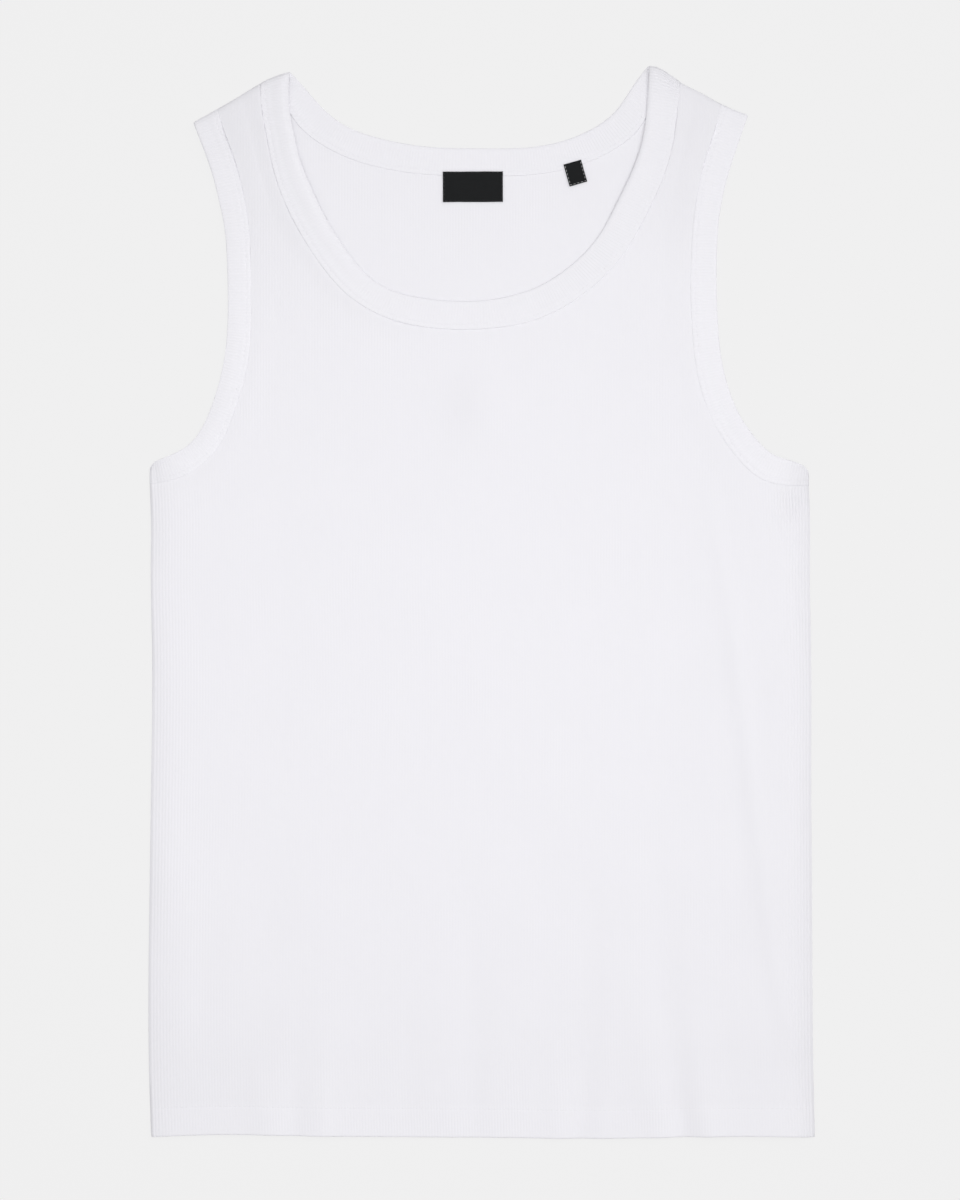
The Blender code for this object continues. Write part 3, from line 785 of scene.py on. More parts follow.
def panel_outline(neck_seam):
    """The panel's outline in grid values, and each point's kind: hem, side, shoulder or seam."""
    cols = np.arange(0, RIBS * PER_RIB + 1)
    hem_plan = np.array([(rib_to_x(c / PER_RIB, -364.0), 0.0) for c in cols])
    hem_plan[:, 1] = hem_y(hem_plan[:, 0])
    hem = np.column_stack([cols, hem_plan[:, 1]])
    side_rows = np.arange(-360.0, 78.0, STEP_UP)
    top = RIBS * PER_RIB
    right = np.column_stack([np.full(len(side_rows), top), side_rows])
    left = np.column_stack([np.zeros(len(side_rows)), side_rows[::-1]])
    arm_right = cut_at_columns(SEAM_ARM_RIGHT[::-1], 3.0)
    arm_right[0, 0] = top
    shoulder_right = cut_at_columns(fold_part("shoulder_right", 1, 3), 2.0)
    neck = cut_at_columns(neck_seam[::-1], 3.0)
    shoulder_left = cut_at_columns(fold_part("shoulder_left", 3, 1), 2.0)
    arm_left = cut_at_columns(SEAM_ARM_LEFT, 3.0)
    arm_left[-1, 0] = 0
    right = right[right[:, 1] < arm_right[0, 1] - 2.0]
    left = left[left[:, 1] < arm_left[-1, 1] - 2.0]
    parts = (
        (hem, "hem"),
        (right, "side"),
        (arm_right, "seam"),
        (shoulder_right[1:-1], "shoulder"),
        (neck, "seam"),
        (shoulder_left[1:-1], "shoulder"),
        (arm_left, "seam"),
        (left, "side"),
    )
    grid = np.vstack([p for p, _ in parts])
    kinds = np.concatenate([[k] * len(p) for p, k in parts])
    return grid, kinds


END_ROWS = {
    "hem": (0.12, 0.4, 0.9, 1.8, 4.0),
    "shoulder": (0.15, 0.6, 1.4, 2.8, 5.0, 8.0),
    "seam": (0.3, 0.75, 1.4, 2.4, 4.2),
    "side": (),
}
HEM_ROWS = (13.0, 16.6, 17.9, 18.6, 19.1, 19.6, 20.1, 20.8, 22.2, 24.0)


def grid_rows(outline, kinds, fine, step):
    """Points inside a panel, column by column. fine says which x, y are wanted at the full number of columns."""
    n = len(outline)
    a, b = outline, np.roll(outline, -1, axis=0)
    kind_b = np.roll(kinds, -1)
    found = []
    rise = (b[:, 1] - a[:, 1]) / np.where(np.abs(b[:, 0] - a[:, 0]) < 1e-9, 1e-9, b[:, 0] - a[:, 0])
    per_mm = PER_RIB / RIB
    for c in range(1, RIBS * PER_RIB):
        hit = ((a[:, 0] <= c) & (b[:, 0] > c)) | ((b[:, 0] <= c) & (a[:, 0] > c))
        k = np.nonzero(hit)[0]
        y = a[k, 1] + (c - a[k, 0]) * rise[k]
        order = np.argsort(y)
        k, y = k[order], y[order]
        for j in range(0, len(k) - 1, 2):
            y0, y1, k0, k1 = y[j], y[j + 1], k[j], k[j + 1]
            rows = []
            for edge, k_edge, sign in ((y0, k0, 1.0), (y1, k1, -1.0)):
                slope = rise[k_edge] * per_mm
                stretch = min(math.hypot(1.0, slope), 5.0)
                kind = kinds[k_edge] if kinds[k_edge] != "side" else kind_b[k_edge]
                for d in END_ROWS[kind]:
                    rows.append(edge + sign * d * stretch)
                if kind == "hem":
                    rows.extend(edge + sign * d for d in HEM_ROWS)
            rows = sorted(r for r in rows if y0 + 0.1 < r < y1 - 0.1)
            kept = []
            for r in rows:
                if not kept or r - kept[-1] > 0.22:
                    kept.append(r)
            kept_array = np.array(kept) if kept else np.zeros(0)
            base = np.arange(math.ceil(y0 / step) * step, y1, step)
            base = base[(base > y0 + 1.0) & (base < y1 - 1.0)]
            if len(kept_array) and len(base):
                gap = np.abs(base[:, None] - kept_array[None]).min(1)
                base = base[gap > 0.45 * min(step, 7.6)]
            ys = np.concatenate([kept_array, base])
            if fine is not None:
                ys = ys[fine(c, ys)]
            found.append(np.column_stack([np.full(len(ys), float(c)), ys]))
    return np.vstack(found)


def triangulate(outline, inner):
    """Triangles over an outline and the points inside it, in the grid's own proportions."""
    both = np.vstack([outline, inner])
    scaled = both / np.array([1.0, STEP_UP])
    got = delaunay_2d_cdt([Vector(p) for p in scaled], [], [list(range(len(outline)))], 1, 1e-7)
    first = np.array([ids[0] if ids else -1 for ids in got[3]])
    if (first < 0).any():
        raise RuntimeError("a panel's outline meets itself")
    tris = first[np.array(got[2])]
    # drop triangles whose corners fell together
    ok = (tris[:, 0] != tris[:, 1]) & (tris[:, 1] != tris[:, 2]) & (tris[:, 0] != tris[:, 2])
    return both, tris[ok]


def keep_clear(grid, lines, gap):
    plan = to_plan(grid)
    d = np.full(len(plan), 1e3)
    for line in lines:
        d = np.minimum(d, nearest(plan, line, reach=5.0)[0])
    return grid[d > gap]


def seam_dip(plan, seams, depths, run=0.6):
    """The panel's edge turns down a little where it goes under a band."""
    total = np.zeros(len(plan))
    for line, deep in zip(seams, depths):
        d, _, _ = nearest(plan, line, reach=4.0)
        total = np.maximum(total, deep * np.exp(-((d / run) ** 2)))
    return total


def hem_round(up, radius):
    return radius * (1.0 - np.sqrt(1.0 - (1.0 - np.clip(up / radius, 0.0, 1.0)) ** 2))


def distances(plan, seams):
    """Distances to the nearest fold (with its outward direction), to the neck seam and to the nearer armhole seam."""
    d_fold, out = fold_near(plan)
    d_neck, d_arm = np.full(len(plan), 1e3), np.full(len(plan), 1e3)
    for k, line in enumerate(seams):
        d = nearest(plan, line, reach=25.0)[0]
        if k == 0:
            d_neck = d
        else:
            d_arm = np.minimum(d_arm, d)
    return d_fold, out, d_neck, d_arm


def stitch_groove(up):
    return 0.06 * np.exp(-(((up - HEM_STITCH) / 0.6) ** 2))


def build_panel(name, layer, neck_seam, material):
    seams = (neck_seam, SEAM_ARM_LEFT, SEAM_ARM_RIGHT)
    outline, kinds = panel_outline(neck_seam)
    rim = len(outline)
    rim_plan = to_plan(outline)
    on_fold = np.isin(kinds, ("side", "shoulder"))

    def face(inner_points, outer_side):
        grid, tris = triangulate(outline, inner_points)
        plan = to_plan(grid)
        d_fold, out, d_neck, d_arm = distances(plan, seams)
        d_seam = np.minimum(d_neck, d_arm)
        d_fold[:rim][on_fold] = 0.0
        up = plan[:, 1] - hem_y(plan[:, 0])
        base = front_outer(plan, d_fold, d_neck, d_arm) if layer == "front" else back_outer(plan, d_fold)
        points = np.column_stack([plan, base])
        n = point_normals(points, tris)
        if n[rim:, 2].mean() < 0:
            n = -n
        if layer == "back":
            n = -n
        edge = np.nonzero(d_fold[:rim] < 1e-6)[0]
        n[edge] = np.column_stack([out[edge], np.zeros(len(edge))])
        hem_zone = 1.0 - smooth_step((up - HEM_STITCH) / 1.5)
        thick = CLOTH + (DOUBLE - CLOTH) * hem_zone
        round_hem = hem_round(up, 0.85) * smooth_step(d_fold / 1.2 + 0.35)
        rib = grid[:, 0] / PER_RIB + 0.5  # a rib's top lies on each side fold
        d_side = side_distance(plan)
        open_here = opened(d_side)
        by_side = RIB_DEPTH_BY_SIDE + 0.17 * (plan[:, 0] > 0.0)
        gather = gathered(plan)
        depth = RIB_DEPTH + (by_side - RIB_DEPTH) * np.maximum(open_here, np.minimum(gather, 1.0)) + 0.12 * gather
        relief = depth * rib_relief(rib)
        relief *= 1.0 - 0.5 * np.exp(-((d_seam / 0.8) ** 2))
        relief *= 1.0 - 0.8 * np.exp(-((d_fold / 1.5) ** 2)) * smooth_step((d_side - 4.0) / 4.0)
        dip = seam_dip(plan, seams, (0.22, 0.08, 0.05) if layer == "front" else (0.14, 0.2, 0.2))
        if layer == "front":
            dip *= 1.0 - 0.7 * lower_left_neck(plan)
        deep = relief + round_hem + dip + stitch_groove(up)
        if outer_side:
            deep = np.minimum(deep, thick * 0.5)
        else:
            inner_relief = depth * 0.9 * rib_relief(rib + 0.5) * smooth_step((up - 3.0) / 10.0)  # smooth along the hem's rim
            inner_dip = dip if layer == "front" else -0.44 * np.exp(-((d_neck / 2.0) ** 2))
            deep = thick - np.minimum(inner_relief + round_hem + inner_dip + stitch_groove(up), thick * 0.42)
        moved = points - n * deep[:, None]
        moved[:, 2] = np.maximum(moved[:, 2], 0.0)
        return moved, tris, rib, plan, relief

    outer_grid = keep_clear(grid_rows(outline, kinds, None, STEP_UP if layer == "front" else 10.4), seams, 0.16)

    def rim_rows(c, ys):
        up = ys - hem_y(rib_to_x(c / PER_RIB, ys))
        return ((up > 0.05) & (up < 2.2)) | ((c % 4 == 2) & (up > 2.2) & (up < 4.5))

    if layer == "front":

        def wanted(c, ys):
            return np.full(len(ys), c % 24 == 12) & (np.abs((ys % (STEP_UP * 5)) - STEP_UP * 2.5) < STEP_UP * 0.5)

        def by_hem(c, ys):
            return wanted(c, ys) | rim_rows(c, ys)

        inner_grid = grid_rows(outline, kinds, by_hem, STEP_UP)
    else:
        x_of = lambda c, ys: rib_to_x(c / PER_RIB, ys)

        def shown(c, ys):
            x = x_of(c, ys)
            in_neck = ((x + 9.0) / 152.0) ** 2 + ((ys - 345.0) / 168.0) ** 2 < 1.0
            coarse = (c % 24 == 12) & (np.abs((ys % (STEP_UP * 5)) - STEP_UP * 2.5) < STEP_UP * 0.5)
            return in_neck | coarse | rim_rows(c, ys)

        inner_grid = grid_rows(outline, kinds, shown, STEP_UP)
    inner_grid = keep_clear(inner_grid, seams, 0.16)

    outer, outer_tris, outer_rib, outer_plan, _ = face(outer_grid, True)
    inner, inner_tris, inner_rib, inner_plan, _ = face(inner_grid, False)
    print(name, "triangles", len(outer_tris), len(inner_tris))
    n_outer = len(outer)
    # the two faces are joined by a narrow wall round the rim
    loop = np.arange(rim)
    after = np.roll(loop, -1)
    walls = np.vstack([np.column_stack([loop, after, after + n_outer]), np.column_stack([loop, after + n_outer, loop + n_outer])])
    points = np.vstack([outer, inner])
    # outer triangles as seen from above run anticlockwise
    up_outer = outer_tris if layer == "front" else outer_tris[:, ::-1]
    up_inner = inner_tris[:, ::-1] if layer == "front" else inner_tris
    walls = walls[:, ::-1] if layer == "front" else walls
    tris = np.vstack([up_outer, up_inner + n_outer, walls])
    if volume_sign(points, tris) < 0:
        tris = tris[:, ::-1]
    rib = np.concatenate([outer_rib, inner_rib + 0.5])
    plan = np.vstack([outer_plan, inner_plan])
    up = plan[:, 1] - hem_y(plan[:, 0])
    # single cloth is 0 and the doubled hem 1; on the front, painted shade takes the straps and other places below 0
    ply_and_painted_shade = 1.0 - smooth_step((up - HEM_STITCH - 1.0) / 3.0)
    if layer == "front":
        left = plan[:, 0] < 0.0
        # painted shade: darker on the straps, and more so towards the shoulders
        ply_and_painted_shade -= np.where(left, 1.87, 1.5) * strap_part(plan) + np.where(left, 0.9, 0.5) * smooth_step((plan[:, 1] - 285.0) / 45.0)
        # painted shade beside the right side fold
        ply_and_painted_shade -= 1.5 * np.exp(-((side_distance(plan) / 8.0) ** 2)) * (~left)
        # painted shade in the chest dimple
        ply_and_painted_shade -= 1.4 * np.exp(-(((plan[:, 0] + 17.0) / 16.0) ** 2 + ((plan[:, 1] - 131.0) / 25.0) ** 2))
        # lighter and darker patches over the body
        ply_and_painted_shade -= 0.4 * np.exp(-(((plan[:, 0] - 196.0) / 12.0) ** 2)) * smooth_step((20.0 - plan[:, 1]) / 60.0) * smooth_step((plan[:, 1] + 250.0) / 80.0)
        ply_and_painted_shade += 0.3 * np.exp(-(((plan[:, 0] - 38.0) / 11.0) ** 2)) * smooth_step((-190.0 - plan[:, 1]) / 60.0)
        # painted shade towards the lower left corner and the hem
        ply_and_painted_shade -= 0.4 * np.exp(-(((plan[:, 0] + 200.0) / 60.0) ** 2 + ((plan[:, 1] + 340.0) / 60.0) ** 2))
        ply_and_painted_shade -= 0.3 * smooth_step((-270.0 - plan[:, 1]) / 80.0)
        # more lighter and darker patches over the body
        ply_and_painted_shade -= 0.3 * np.exp(-(((plan[:, 0] + 172.0) / 22.0) ** 2)) * smooth_step((plan[:, 1] + 190.0) / 80.0)
        ply_and_painted_shade += 0.75 * np.exp(-(((plan[:, 0] + 206.0) / 14.0) ** 2 + ((plan[:, 1] + 190.0) / 80.0) ** 2))
        ply_and_painted_shade += 0.35 * np.exp(-(((plan[:, 0] - 160.0) / 12.0) ** 2 + ((plan[:, 1] + 208.0) / 40.0) ** 2))
        ply_and_painted_shade += 0.45 * np.exp(-(((plan[:, 0] + 118.0) / 18.0) ** 2 + ((plan[:, 1] - 225.0) / 28.0) ** 2))
        # painted shade where the cloth turns over the right shoulder fold
        at_shoulder = np.exp(-((fold_near(plan)[0] / 6.0) ** 2)) * (plan[:, 1] > 280.0)
        ply_and_painted_shade -= 1.0 * at_shoulder * (~left)
        # painted light along the left armhole seam, with painted shade beside it
        d_left = nearest(plan, SEAM_ARM_LEFT, reach=30.0)[0]
        ply_and_painted_shade += 1.0 * np.exp(-((d_left / 1.7) ** 2)) - 0.6 * np.exp(-((d_left / 9.0) ** 2))
    else:
        # painted light along the back neck seam
        ply_and_painted_shade += 0.8 * np.exp(-((nearest(plan, neck_seam, reach=10.0)[0] / 1.7) ** 2))
    knit = np.column_stack([rib, plan[:, 1]])
    gather = gathered(plan)
    # painted shade in the grooves between ribs, stronger where the ribs open beside the side folds and under the arms
    shade = 0.06 + np.where(plan[:, 0] < 0.0, 0.65, 0.85) * np.maximum(opened(side_distance(plan)), np.minimum(gather, 1.0)) + 0.7 * gather
    ply_and_groove_shade = np.column_stack([ply_and_painted_shade, rib_relief(rib) * shade])
    maps = {"Knit": corner_values(tris, knit), "PlyAndShade": corner_values(tris, ply_and_groove_shade)}
    return make_object(name, points, tris, maps, material)


# ---------------------------------------------------------------- bands
EDGE_ROUND = DOUBLE / 2
EDGE_RUN = 1.9  # the doubled cloth rolls over its free edge in this width
STITCH_IN = 3.2  # the topstitch's distance from the seam
ALLOWANCE = 6.4  # the seam allowance inside the band reaches this far from the seam


def band_section(lip_wide, lip_deep):
    """Across a band: rows of (measured from the free edge or from the seam, distance, depth from the outer face,
    share of the ribs' depth, outward direction across, outward direction up). A distance from the free edge is in
    runs of its rounding up to 1, and in millimetres more than the rounding past that."""
    rows = []
    for a, share in ((0.0, 0.15), (24.0, 0.35), (46.0, 0.6), (66.0, 0.8), (80.0, 0.9)):
        c, s = math.cos(math.radians(a)), math.sin(math.radians(a))
        rows.append(("edge", 1 - c, EDGE_ROUND * (1 - s), share, -c, s))
    for w in (0.5, 2.0, 4.4, 7.0):
        rows.append(("edge", 1.0 + w, 0.0, 1.0, 0.0, 1.0))
    for q in (7.0, 6.0, 4.6, 3.9, 3.5, 3.2, 2.9, 2.5, 1.7):
        rows.append(("seam", q, 0.0, 1.0 if abs(q - 3.2) > 0.5 else 0.55, 0.0, 1.0))
    for b, share in ((0.0, 0.8), (35.0, 0.6), (62.0, 0.45), (90.0, 0.3)):
        c, s = math.cos(math.radians(b)), math.sin(math.radians(b))
        rows.append(("seam", lip_wide * (1 - s), lip_deep * (1 - c), share, s, c))
    outer = len(rows)
    under = []
    for b, share in ((70.0, 0.3), (30.0, 0.5), (0.0, 0.7)):
        c, s = math.cos(math.radians(b)), math.sin(math.radians(b))
        under.append(("seam", 0.6 * (1 - s), DOUBLE - 0.36 * (1 - c), share, s, -c))
    for q in (2.2, 2.9, 3.2, 3.5, 4.4, 6.2, 7.0):
        under.append(("seam", q, DOUBLE, 1.0 if abs(q - 3.2) > 0.5 else 0.55, 0.0, -1.0))
    for w in (6.5, 3.0, 0.4):
        under.append(("edge", 1.0 + w, DOUBLE, 1.0, 0.0, -1.0))
    for a, share in ((62.0, 0.7), (32.0, 0.35)):
        c, s = math.cos(math.radians(a)), math.sin(math.radians(a))
        under.append(("edge", 1 - c, DOUBLE - EDGE_ROUND * (1 - s), share, -c, -s))
    return rows + under, outer


NECK_SECTION = band_section(0.7, 0.32)
ARM_SECTION = band_section(1.2, 0.18)


def allowance_relief(q):
    """The band's face over the seam allowance inside it, and the topstitch's channel."""
    lift = 0.2 * smooth_step((ALLOWANCE + 0.8 - q) / 1.8)
    channel = 0.13 * np.exp(-(((q - STITCH_IN) / 0.55) ** 2))
    return lift - channel


def dense_run(run, layer, back_wards):
    length = band_length(run)
    near = np.linspace(0.0, 6.0, 121)
    s = np.unique(np.concatenate([near, np.arange(6.0, length - 6.0, 0.4), length - near]))
    mid = cross_cuts(run, s, np.array([0.5]))[:, 0]
    z = band_outer(mid, layer)
    pts = np.column_stack([mid, z])
    if back_wards:
        s, pts = s[::-1], pts[::-1]
    return s, pts


BAND_EXTRA = {}


def from_edge(dist, run):
    """A section row's distance from the free edge in millimetres, where the rounding is run wide."""
    return np.minimum(dist, 1.0) * run + max(dist - 1.0, 0.0)


def round_corner(p, corner, along_edge, along_fold, reach):
    """Round the corner where a band's free edge meets a fold: plan points near it are drawn inward."""
    frame_in = np.linalg.inv(np.array([along_edge, along_fold], float).T)
    ab = (p - np.array(corner)) @ frame_in.T
    u, v = 1.0 - ab[:, 0] / reach, 1.0 - ab[:, 1] / reach
    inside = (u > 0) & (v > 0) & (u < 1.2) & (v < 1.2)
    u, v = np.clip(u[inside], 0, 1), np.clip(v[inside], 0, 1)
    out = p.copy()
    new = np.column_stack([u * np.sqrt(1 - v * v / 2), v * np.sqrt(1 - u * u / 2)])
    out[inside] += ((1.0 - new) * reach - (1.0 - np.column_stack([u, v])) * reach) @ np.array([along_edge, along_fold], float)
    return out


def build_band(name, material, seed, section, lift=None, roll=None, corner=None, inset=None, thin=None, ribbed=None, ply_and_painted_shade=1.0, tone=None, shown=0.2, sunk=0.0, ease_lip=None):
    SECTION, SECTION_OUTER = section
    front, back = RINGS[name]
    s_f, p_f = dense_run(front, "front", False)
    s_b, p_b = dense_run(back, "back", True)
    pts = np.vstack([p_f, p_b[1:]])
    s_all = np.concatenate([s_f, s_b[1:]])
    on_back = np.concatenate([np.zeros(len(s_f), bool), np.ones(len(s_b) - 1, bool)])
    t = np.concatenate([[0.0], np.cumsum(np.linalg.norm(np.diff(pts, axis=0), axis=1))])
    total = t[-1]
    ribs = int(round(total / BAND_RIB))
    count = ribs * PER_RIB
    at = np.arange(count) * total / count
    switch = t[len(s_f) - 1]
    s = np.interp(at, t, s_all)
    back_side = at > switch
    # interpolation over the switch uses each run's own distances
    s[~back_side] = np.interp(at[~back_side], t[: len(s_f)], s_f)
    s[back_side] = np.interp(at[back_side], t[len(s_f) - 1 :], s_b)

    measured = [(kind, dist) for kind, dist, *_ in SECTION]
    base = np.zeros((count, len(SECTION), 3))
    widths = np.zeros(count)
    for layer, chosen, table in (("front", ~back_side, front), ("back", back_side, back)):
        table_at = curve(table[0])[1]
        cut = table_at(s[chosen])
        width = np.linalg.norm(cut[:, 2:] - cut[:, :2], axis=1)
        widths[chosen] = width
        run = np.full(len(width), EDGE_RUN) if roll is None else roll(cut[:, :2], layer)
        inward = np.zeros(len(width)) if inset is None or layer == "back" else inset(cut[:, :2])
        slack = np.clip(1.0 - np.array([[from_edge(dist, EDGE_RUN) / w for _, dist in measured] for w in width]), 0.0, 1.0)
        share = np.column_stack([from_edge(dist, run) / width if kind == "edge" else 1.0 - dist / width for kind, dist in measured])
        of_edge = np.array([kind == "edge" for kind, _ in measured])
        share = share + np.where(of_edge[None], inward[:, None] * slack / width[:, None], 0.0)
        plan = cross_cuts(table, s[chosen], share)
        flat = plan.reshape(-1, 2)
        z = band_outer(flat, layer)
        if lift is not None and layer == "front":
            z = z + lift(flat, np.repeat(s[chosen], len(SECTION)), share.ravel()) * rounding(fold_near(flat)[0], 12.0)
        if corner is not None:
            flat = round_corner(flat, *corner)
        base[chosen] = np.column_stack([flat, z]).reshape(chosen.sum(), len(SECTION), 3)
    # tangents along the band and across it
    along = np.roll(base, -2, axis=0) - np.roll(base, 2, axis=0)
    pick = SECTION_OUTER // 2
    across = base[:, SECTION_OUTER - 5] - base[:, 4]
    across = unit(across)[:, None, :] * np.ones((1, len(SECTION), 1))
    along = unit(along)
    normal = unit(np.cross(along, across))
    if normal[count // 8, pick, 2] < 0:
        normal = -normal
    across = unit(np.cross(normal, along))
    sign = np.sign((across * (base[:, SECTION_OUTER - 5] - base[:, 4])[:, None, :]).sum(-1, keepdims=True))
    across = across * sign
    deep = np.array([row[2] for row in SECTION])
    share_rib = np.array([row[3] for row in SECTION])
    out_w = np.array([row[4] for row in SECTION])
    out_z = np.array([row[5] for row in SECTION])
    outer_side = np.arange(len(SECTION)) < SECTION_OUTER
    rib = at / total * ribs
    middle = base[:, SECTION_OUTER // 2, :2]
    open_here = opened(side_distance(middle)) * (middle[:, 1] < 130.0) * np.where(middle[:, 0] > 0.0, 1.0, 0.5)
    if ribbed is not None:
        open_here = np.maximum(open_here, np.where(back_side, 0.0, ribbed(middle)))
    relief = BAND_RIB_DEPTH * (1.0 + 1.3 * open_here) * rib_relief(rib)
    relief_in = BAND_RIB_DEPTH * rib_relief(rib + 0.5)
    q = np.array([[(d if kind == "seam" else w - from_edge(d, EDGE_RUN)) for kind, d in measured] for w in widths])
    ease = 1.0 + 0.25 * sway(at, seed, 31.0, 47.0, 83.0)[:, None]
    extra = allowance_relief(q) * ease
    puff = 0.08 * sway(at, seed + 1, 27.0, 41.0, 66.0)[:, None] * np.sin(math.pi * np.clip(q / widths[:, None], 0, 1)) ** 0.7
    pressed = np.zeros((count, len(SECTION)))
    if thin is not None:
        w_edge = np.array([[from_edge(d, EDGE_RUN) if kind == "edge" else w - d for kind, d in measured] for w in widths])
        amount = np.where(back_side, 0.0, thin(base[:, 0, :2]))[:, None]
        pressed = amount * (1.0 - smooth_step(w_edge / 7.5)) * (1.0 - deep[None] / DOUBLE)
    pressed = pressed + sunk * (1.0 - smooth_step(q / 9.0)) * (1.0 - deep[None] / DOUBLE) * ~back_side[:, None]
    cut_in = np.where(outer_side[None], relief[:, None], relief_in[:, None]) * share_rib[None]
    grown = (extra + puff) * np.abs(out_z)[None] ** 2 - cut_in
    lip = np.array([row[0] == "seam" and k < SECTION_OUTER and row[2] > 0.0 for k, row in enumerate(SECTION)])
    depth = deep[None] * (1.0 - (0.0 if ease_lip is None else ease_lip(middle)[:, None]) * lip[None])
    points = base - normal * (depth + pressed)[..., None]
    points = points + grown[..., None] * (across * out_w[None, :, None] + normal * out_z[None, :, None])
    points[..., 2] = np.maximum(points[..., 2], 0.0)  # the underside stays on or over the ground
    flat_points = points.reshape(-1, 3)
    size = len(SECTION)
    i = np.arange(count)
    quads, knit, ply_and_groove_shade = [], [], []
    along_w = np.concatenate([[0.0], np.cumsum(np.hypot(np.diff([float(from_edge(d, EDGE_RUN)) if k == "edge" else 20.0 - d for k, d in measured]), np.diff(deep)))])
    turn = rib_relief
    # painted shade and painted light from tone are added to the band's ply
    plies_and_painted_shade = np.full(count, float(ply_and_painted_shade)) + (0.0 if tone is None else np.where(back_side, 0.0, tone(middle)))
    for j in range(size):
        k = (j + 1) % size
        quads.append(np.column_stack([i * size + j, i * size + k, (i + 1) % count * size + k, (i + 1) % count * size + j]))
        va, vb = along_w[j], along_w[k] if k else along_w[-1] + 1.0
        off_a, off_b = (0.0 if outer_side[j] else 0.5), (0.0 if outer_side[k] else 0.5)
        off = max(off_a, off_b)
        r0, r1 = rib + off, rib + off + 1.0 / PER_RIB
        knit.append(np.stack([np.column_stack([r0, np.full(count, va)]), np.column_stack([r0, np.full(count, vb)]), np.column_stack([r1, np.full(count, vb)]), np.column_stack([r1, np.full(count, va)])], 1))
        w0, w1 = turn(r0), turn(r1)
        here, there = plies_and_painted_shade, np.roll(plies_and_painted_shade, -1)
        # painted shade in the grooves between ribs, stronger where the ribs open
        groove_shade_amount = shown + 0.6 * open_here
        w0, w1 = groove_shade_amount * w0, groove_shade_amount * w1
        ply_and_groove_shade.append(np.stack([np.column_stack([here, w0]), np.column_stack([here, w0]), np.column_stack([there, w1]), np.column_stack([there, w1])], 1))
    quads = np.vstack(quads)
    knit, ply_and_groove_shade = np.concatenate(knit), np.concatenate(ply_and_groove_shade)
    tris = np.vstack([quads[:, :3], quads[:, [0, 2, 3]]])
    if volume_sign(flat_points, tris) < 0:
        quads, knit, ply_and_groove_shade = quads[:, ::-1], knit[:, ::-1], ply_and_groove_shade[:, ::-1]
    maps = {"Knit": knit.reshape(-1, 2), "PlyAndShade": ply_and_groove_shade.reshape(-1, 2)}
    ob = make_object(name + "_cloth", flat_points, quads, maps, material)
    # where the topstitch runs: on the outer face all round, and on the inner face for the part that shows
    j_out = next(j for j, row in enumerate(SECTION) if row[0] == "seam" and abs(row[1] - STITCH_IN) < 1e-6)
    j_in = next(j for j, row in enumerate(SECTION) if j >= SECTION_OUTER and row[0] == "seam" and abs(row[1] - STITCH_IN) < 1e-6)
    BAND_EXTRA[name] = {
        "outer": (points[:, j_out], normal[:, j_out]),
        "inner": (points[:, j_in], -normal[:, j_in]),
        "back": back_side,
        "length": total,
        "width": widths.mean(),
    }
    return ob


# ---------------------------------------------------------------- stitches
def build_stitches(name, runs, material, length=2.5, gap=0.75, radius=0.12, proud=0.03):
    """Rows of short stitches, each a small bent bar of thread. runs is a list of (points, normals, closed)."""
    profile = ((0.0, 0.5, -0.22), (0.14, 0.95, 0.0), (0.5, 1.0, 1.0), (0.86, 0.95, 0.0), (1.0, 0.5, -0.22))
    sides = 6
    verts, quads = [], []
    made = 0
    for line, normals, closed in runs:
        if closed:
            line, normals = np.vstack([line, line[:1]]), np.vstack([normals, normals[:1]])
        t = np.concatenate([[0.0], np.cumsum(np.linalg.norm(np.diff(line, axis=0), axis=1))])
        pitch = length + gap
        n = int(t[-1] / pitch)
        pitch = t[-1] / n
        starts = np.arange(n) * pitch + gap / 2
        for s0 in starts:
            rows = []
            for share, fat, high in profile:
                s = s0 + share * (pitch - gap)
                p = np.array([np.interp(s, t, line[:, k]) for k in range(3)])
                nn = unit(np.array([np.interp(s, t, normals[:, k]) for k in range(3)]))
                rows.append((p + nn * (proud * high if high > 0 else high), nn, fat))
            way = unit(rows[-1][0] - rows[0][0])
            for p, nn, fat in rows:
                side = unit(np.cross(way, nn))
                lift = unit(np.cross(side, way))
                for k in range(sides):
                    a = 2 * math.pi * k / sides
                    verts.append(p + (side * math.cos(a) * 1.15 + lift * math.sin(a)) * radius * fat)
            base = made * sides * len(profile)
            for r in range(len(profile) - 1):
                for k in range(sides):
                    m = (k + 1) % sides
                    quads.append((base + r * sides + k, base + r * sides + m, base + (r + 1) * sides + m, base + (r + 1) * sides + k))
            end = base + (len(profile) - 1) * sides
            quads.append((base + 3, base + 2, base + 1, base))
            quads.append((base + 5, base + 4, base + 3, base))
            quads.append((end, end + 1, end + 2, end + 3))
            quads.append((end, end + 3, end + 4, end + 5))
            made += 1
    verts, quads = np.array(verts), np.array(quads)
    verts[:, 2] = np.maximum(verts[:, 2], 0.0)
    tris = np.vstack([quads[:, :3], quads[:, [0, 2, 3]]])
    if volume_sign(verts, tris) < 0:
        quads = quads[:, ::-1]
    return make_object(name, verts, quads, {}, material, sharp=80.0)


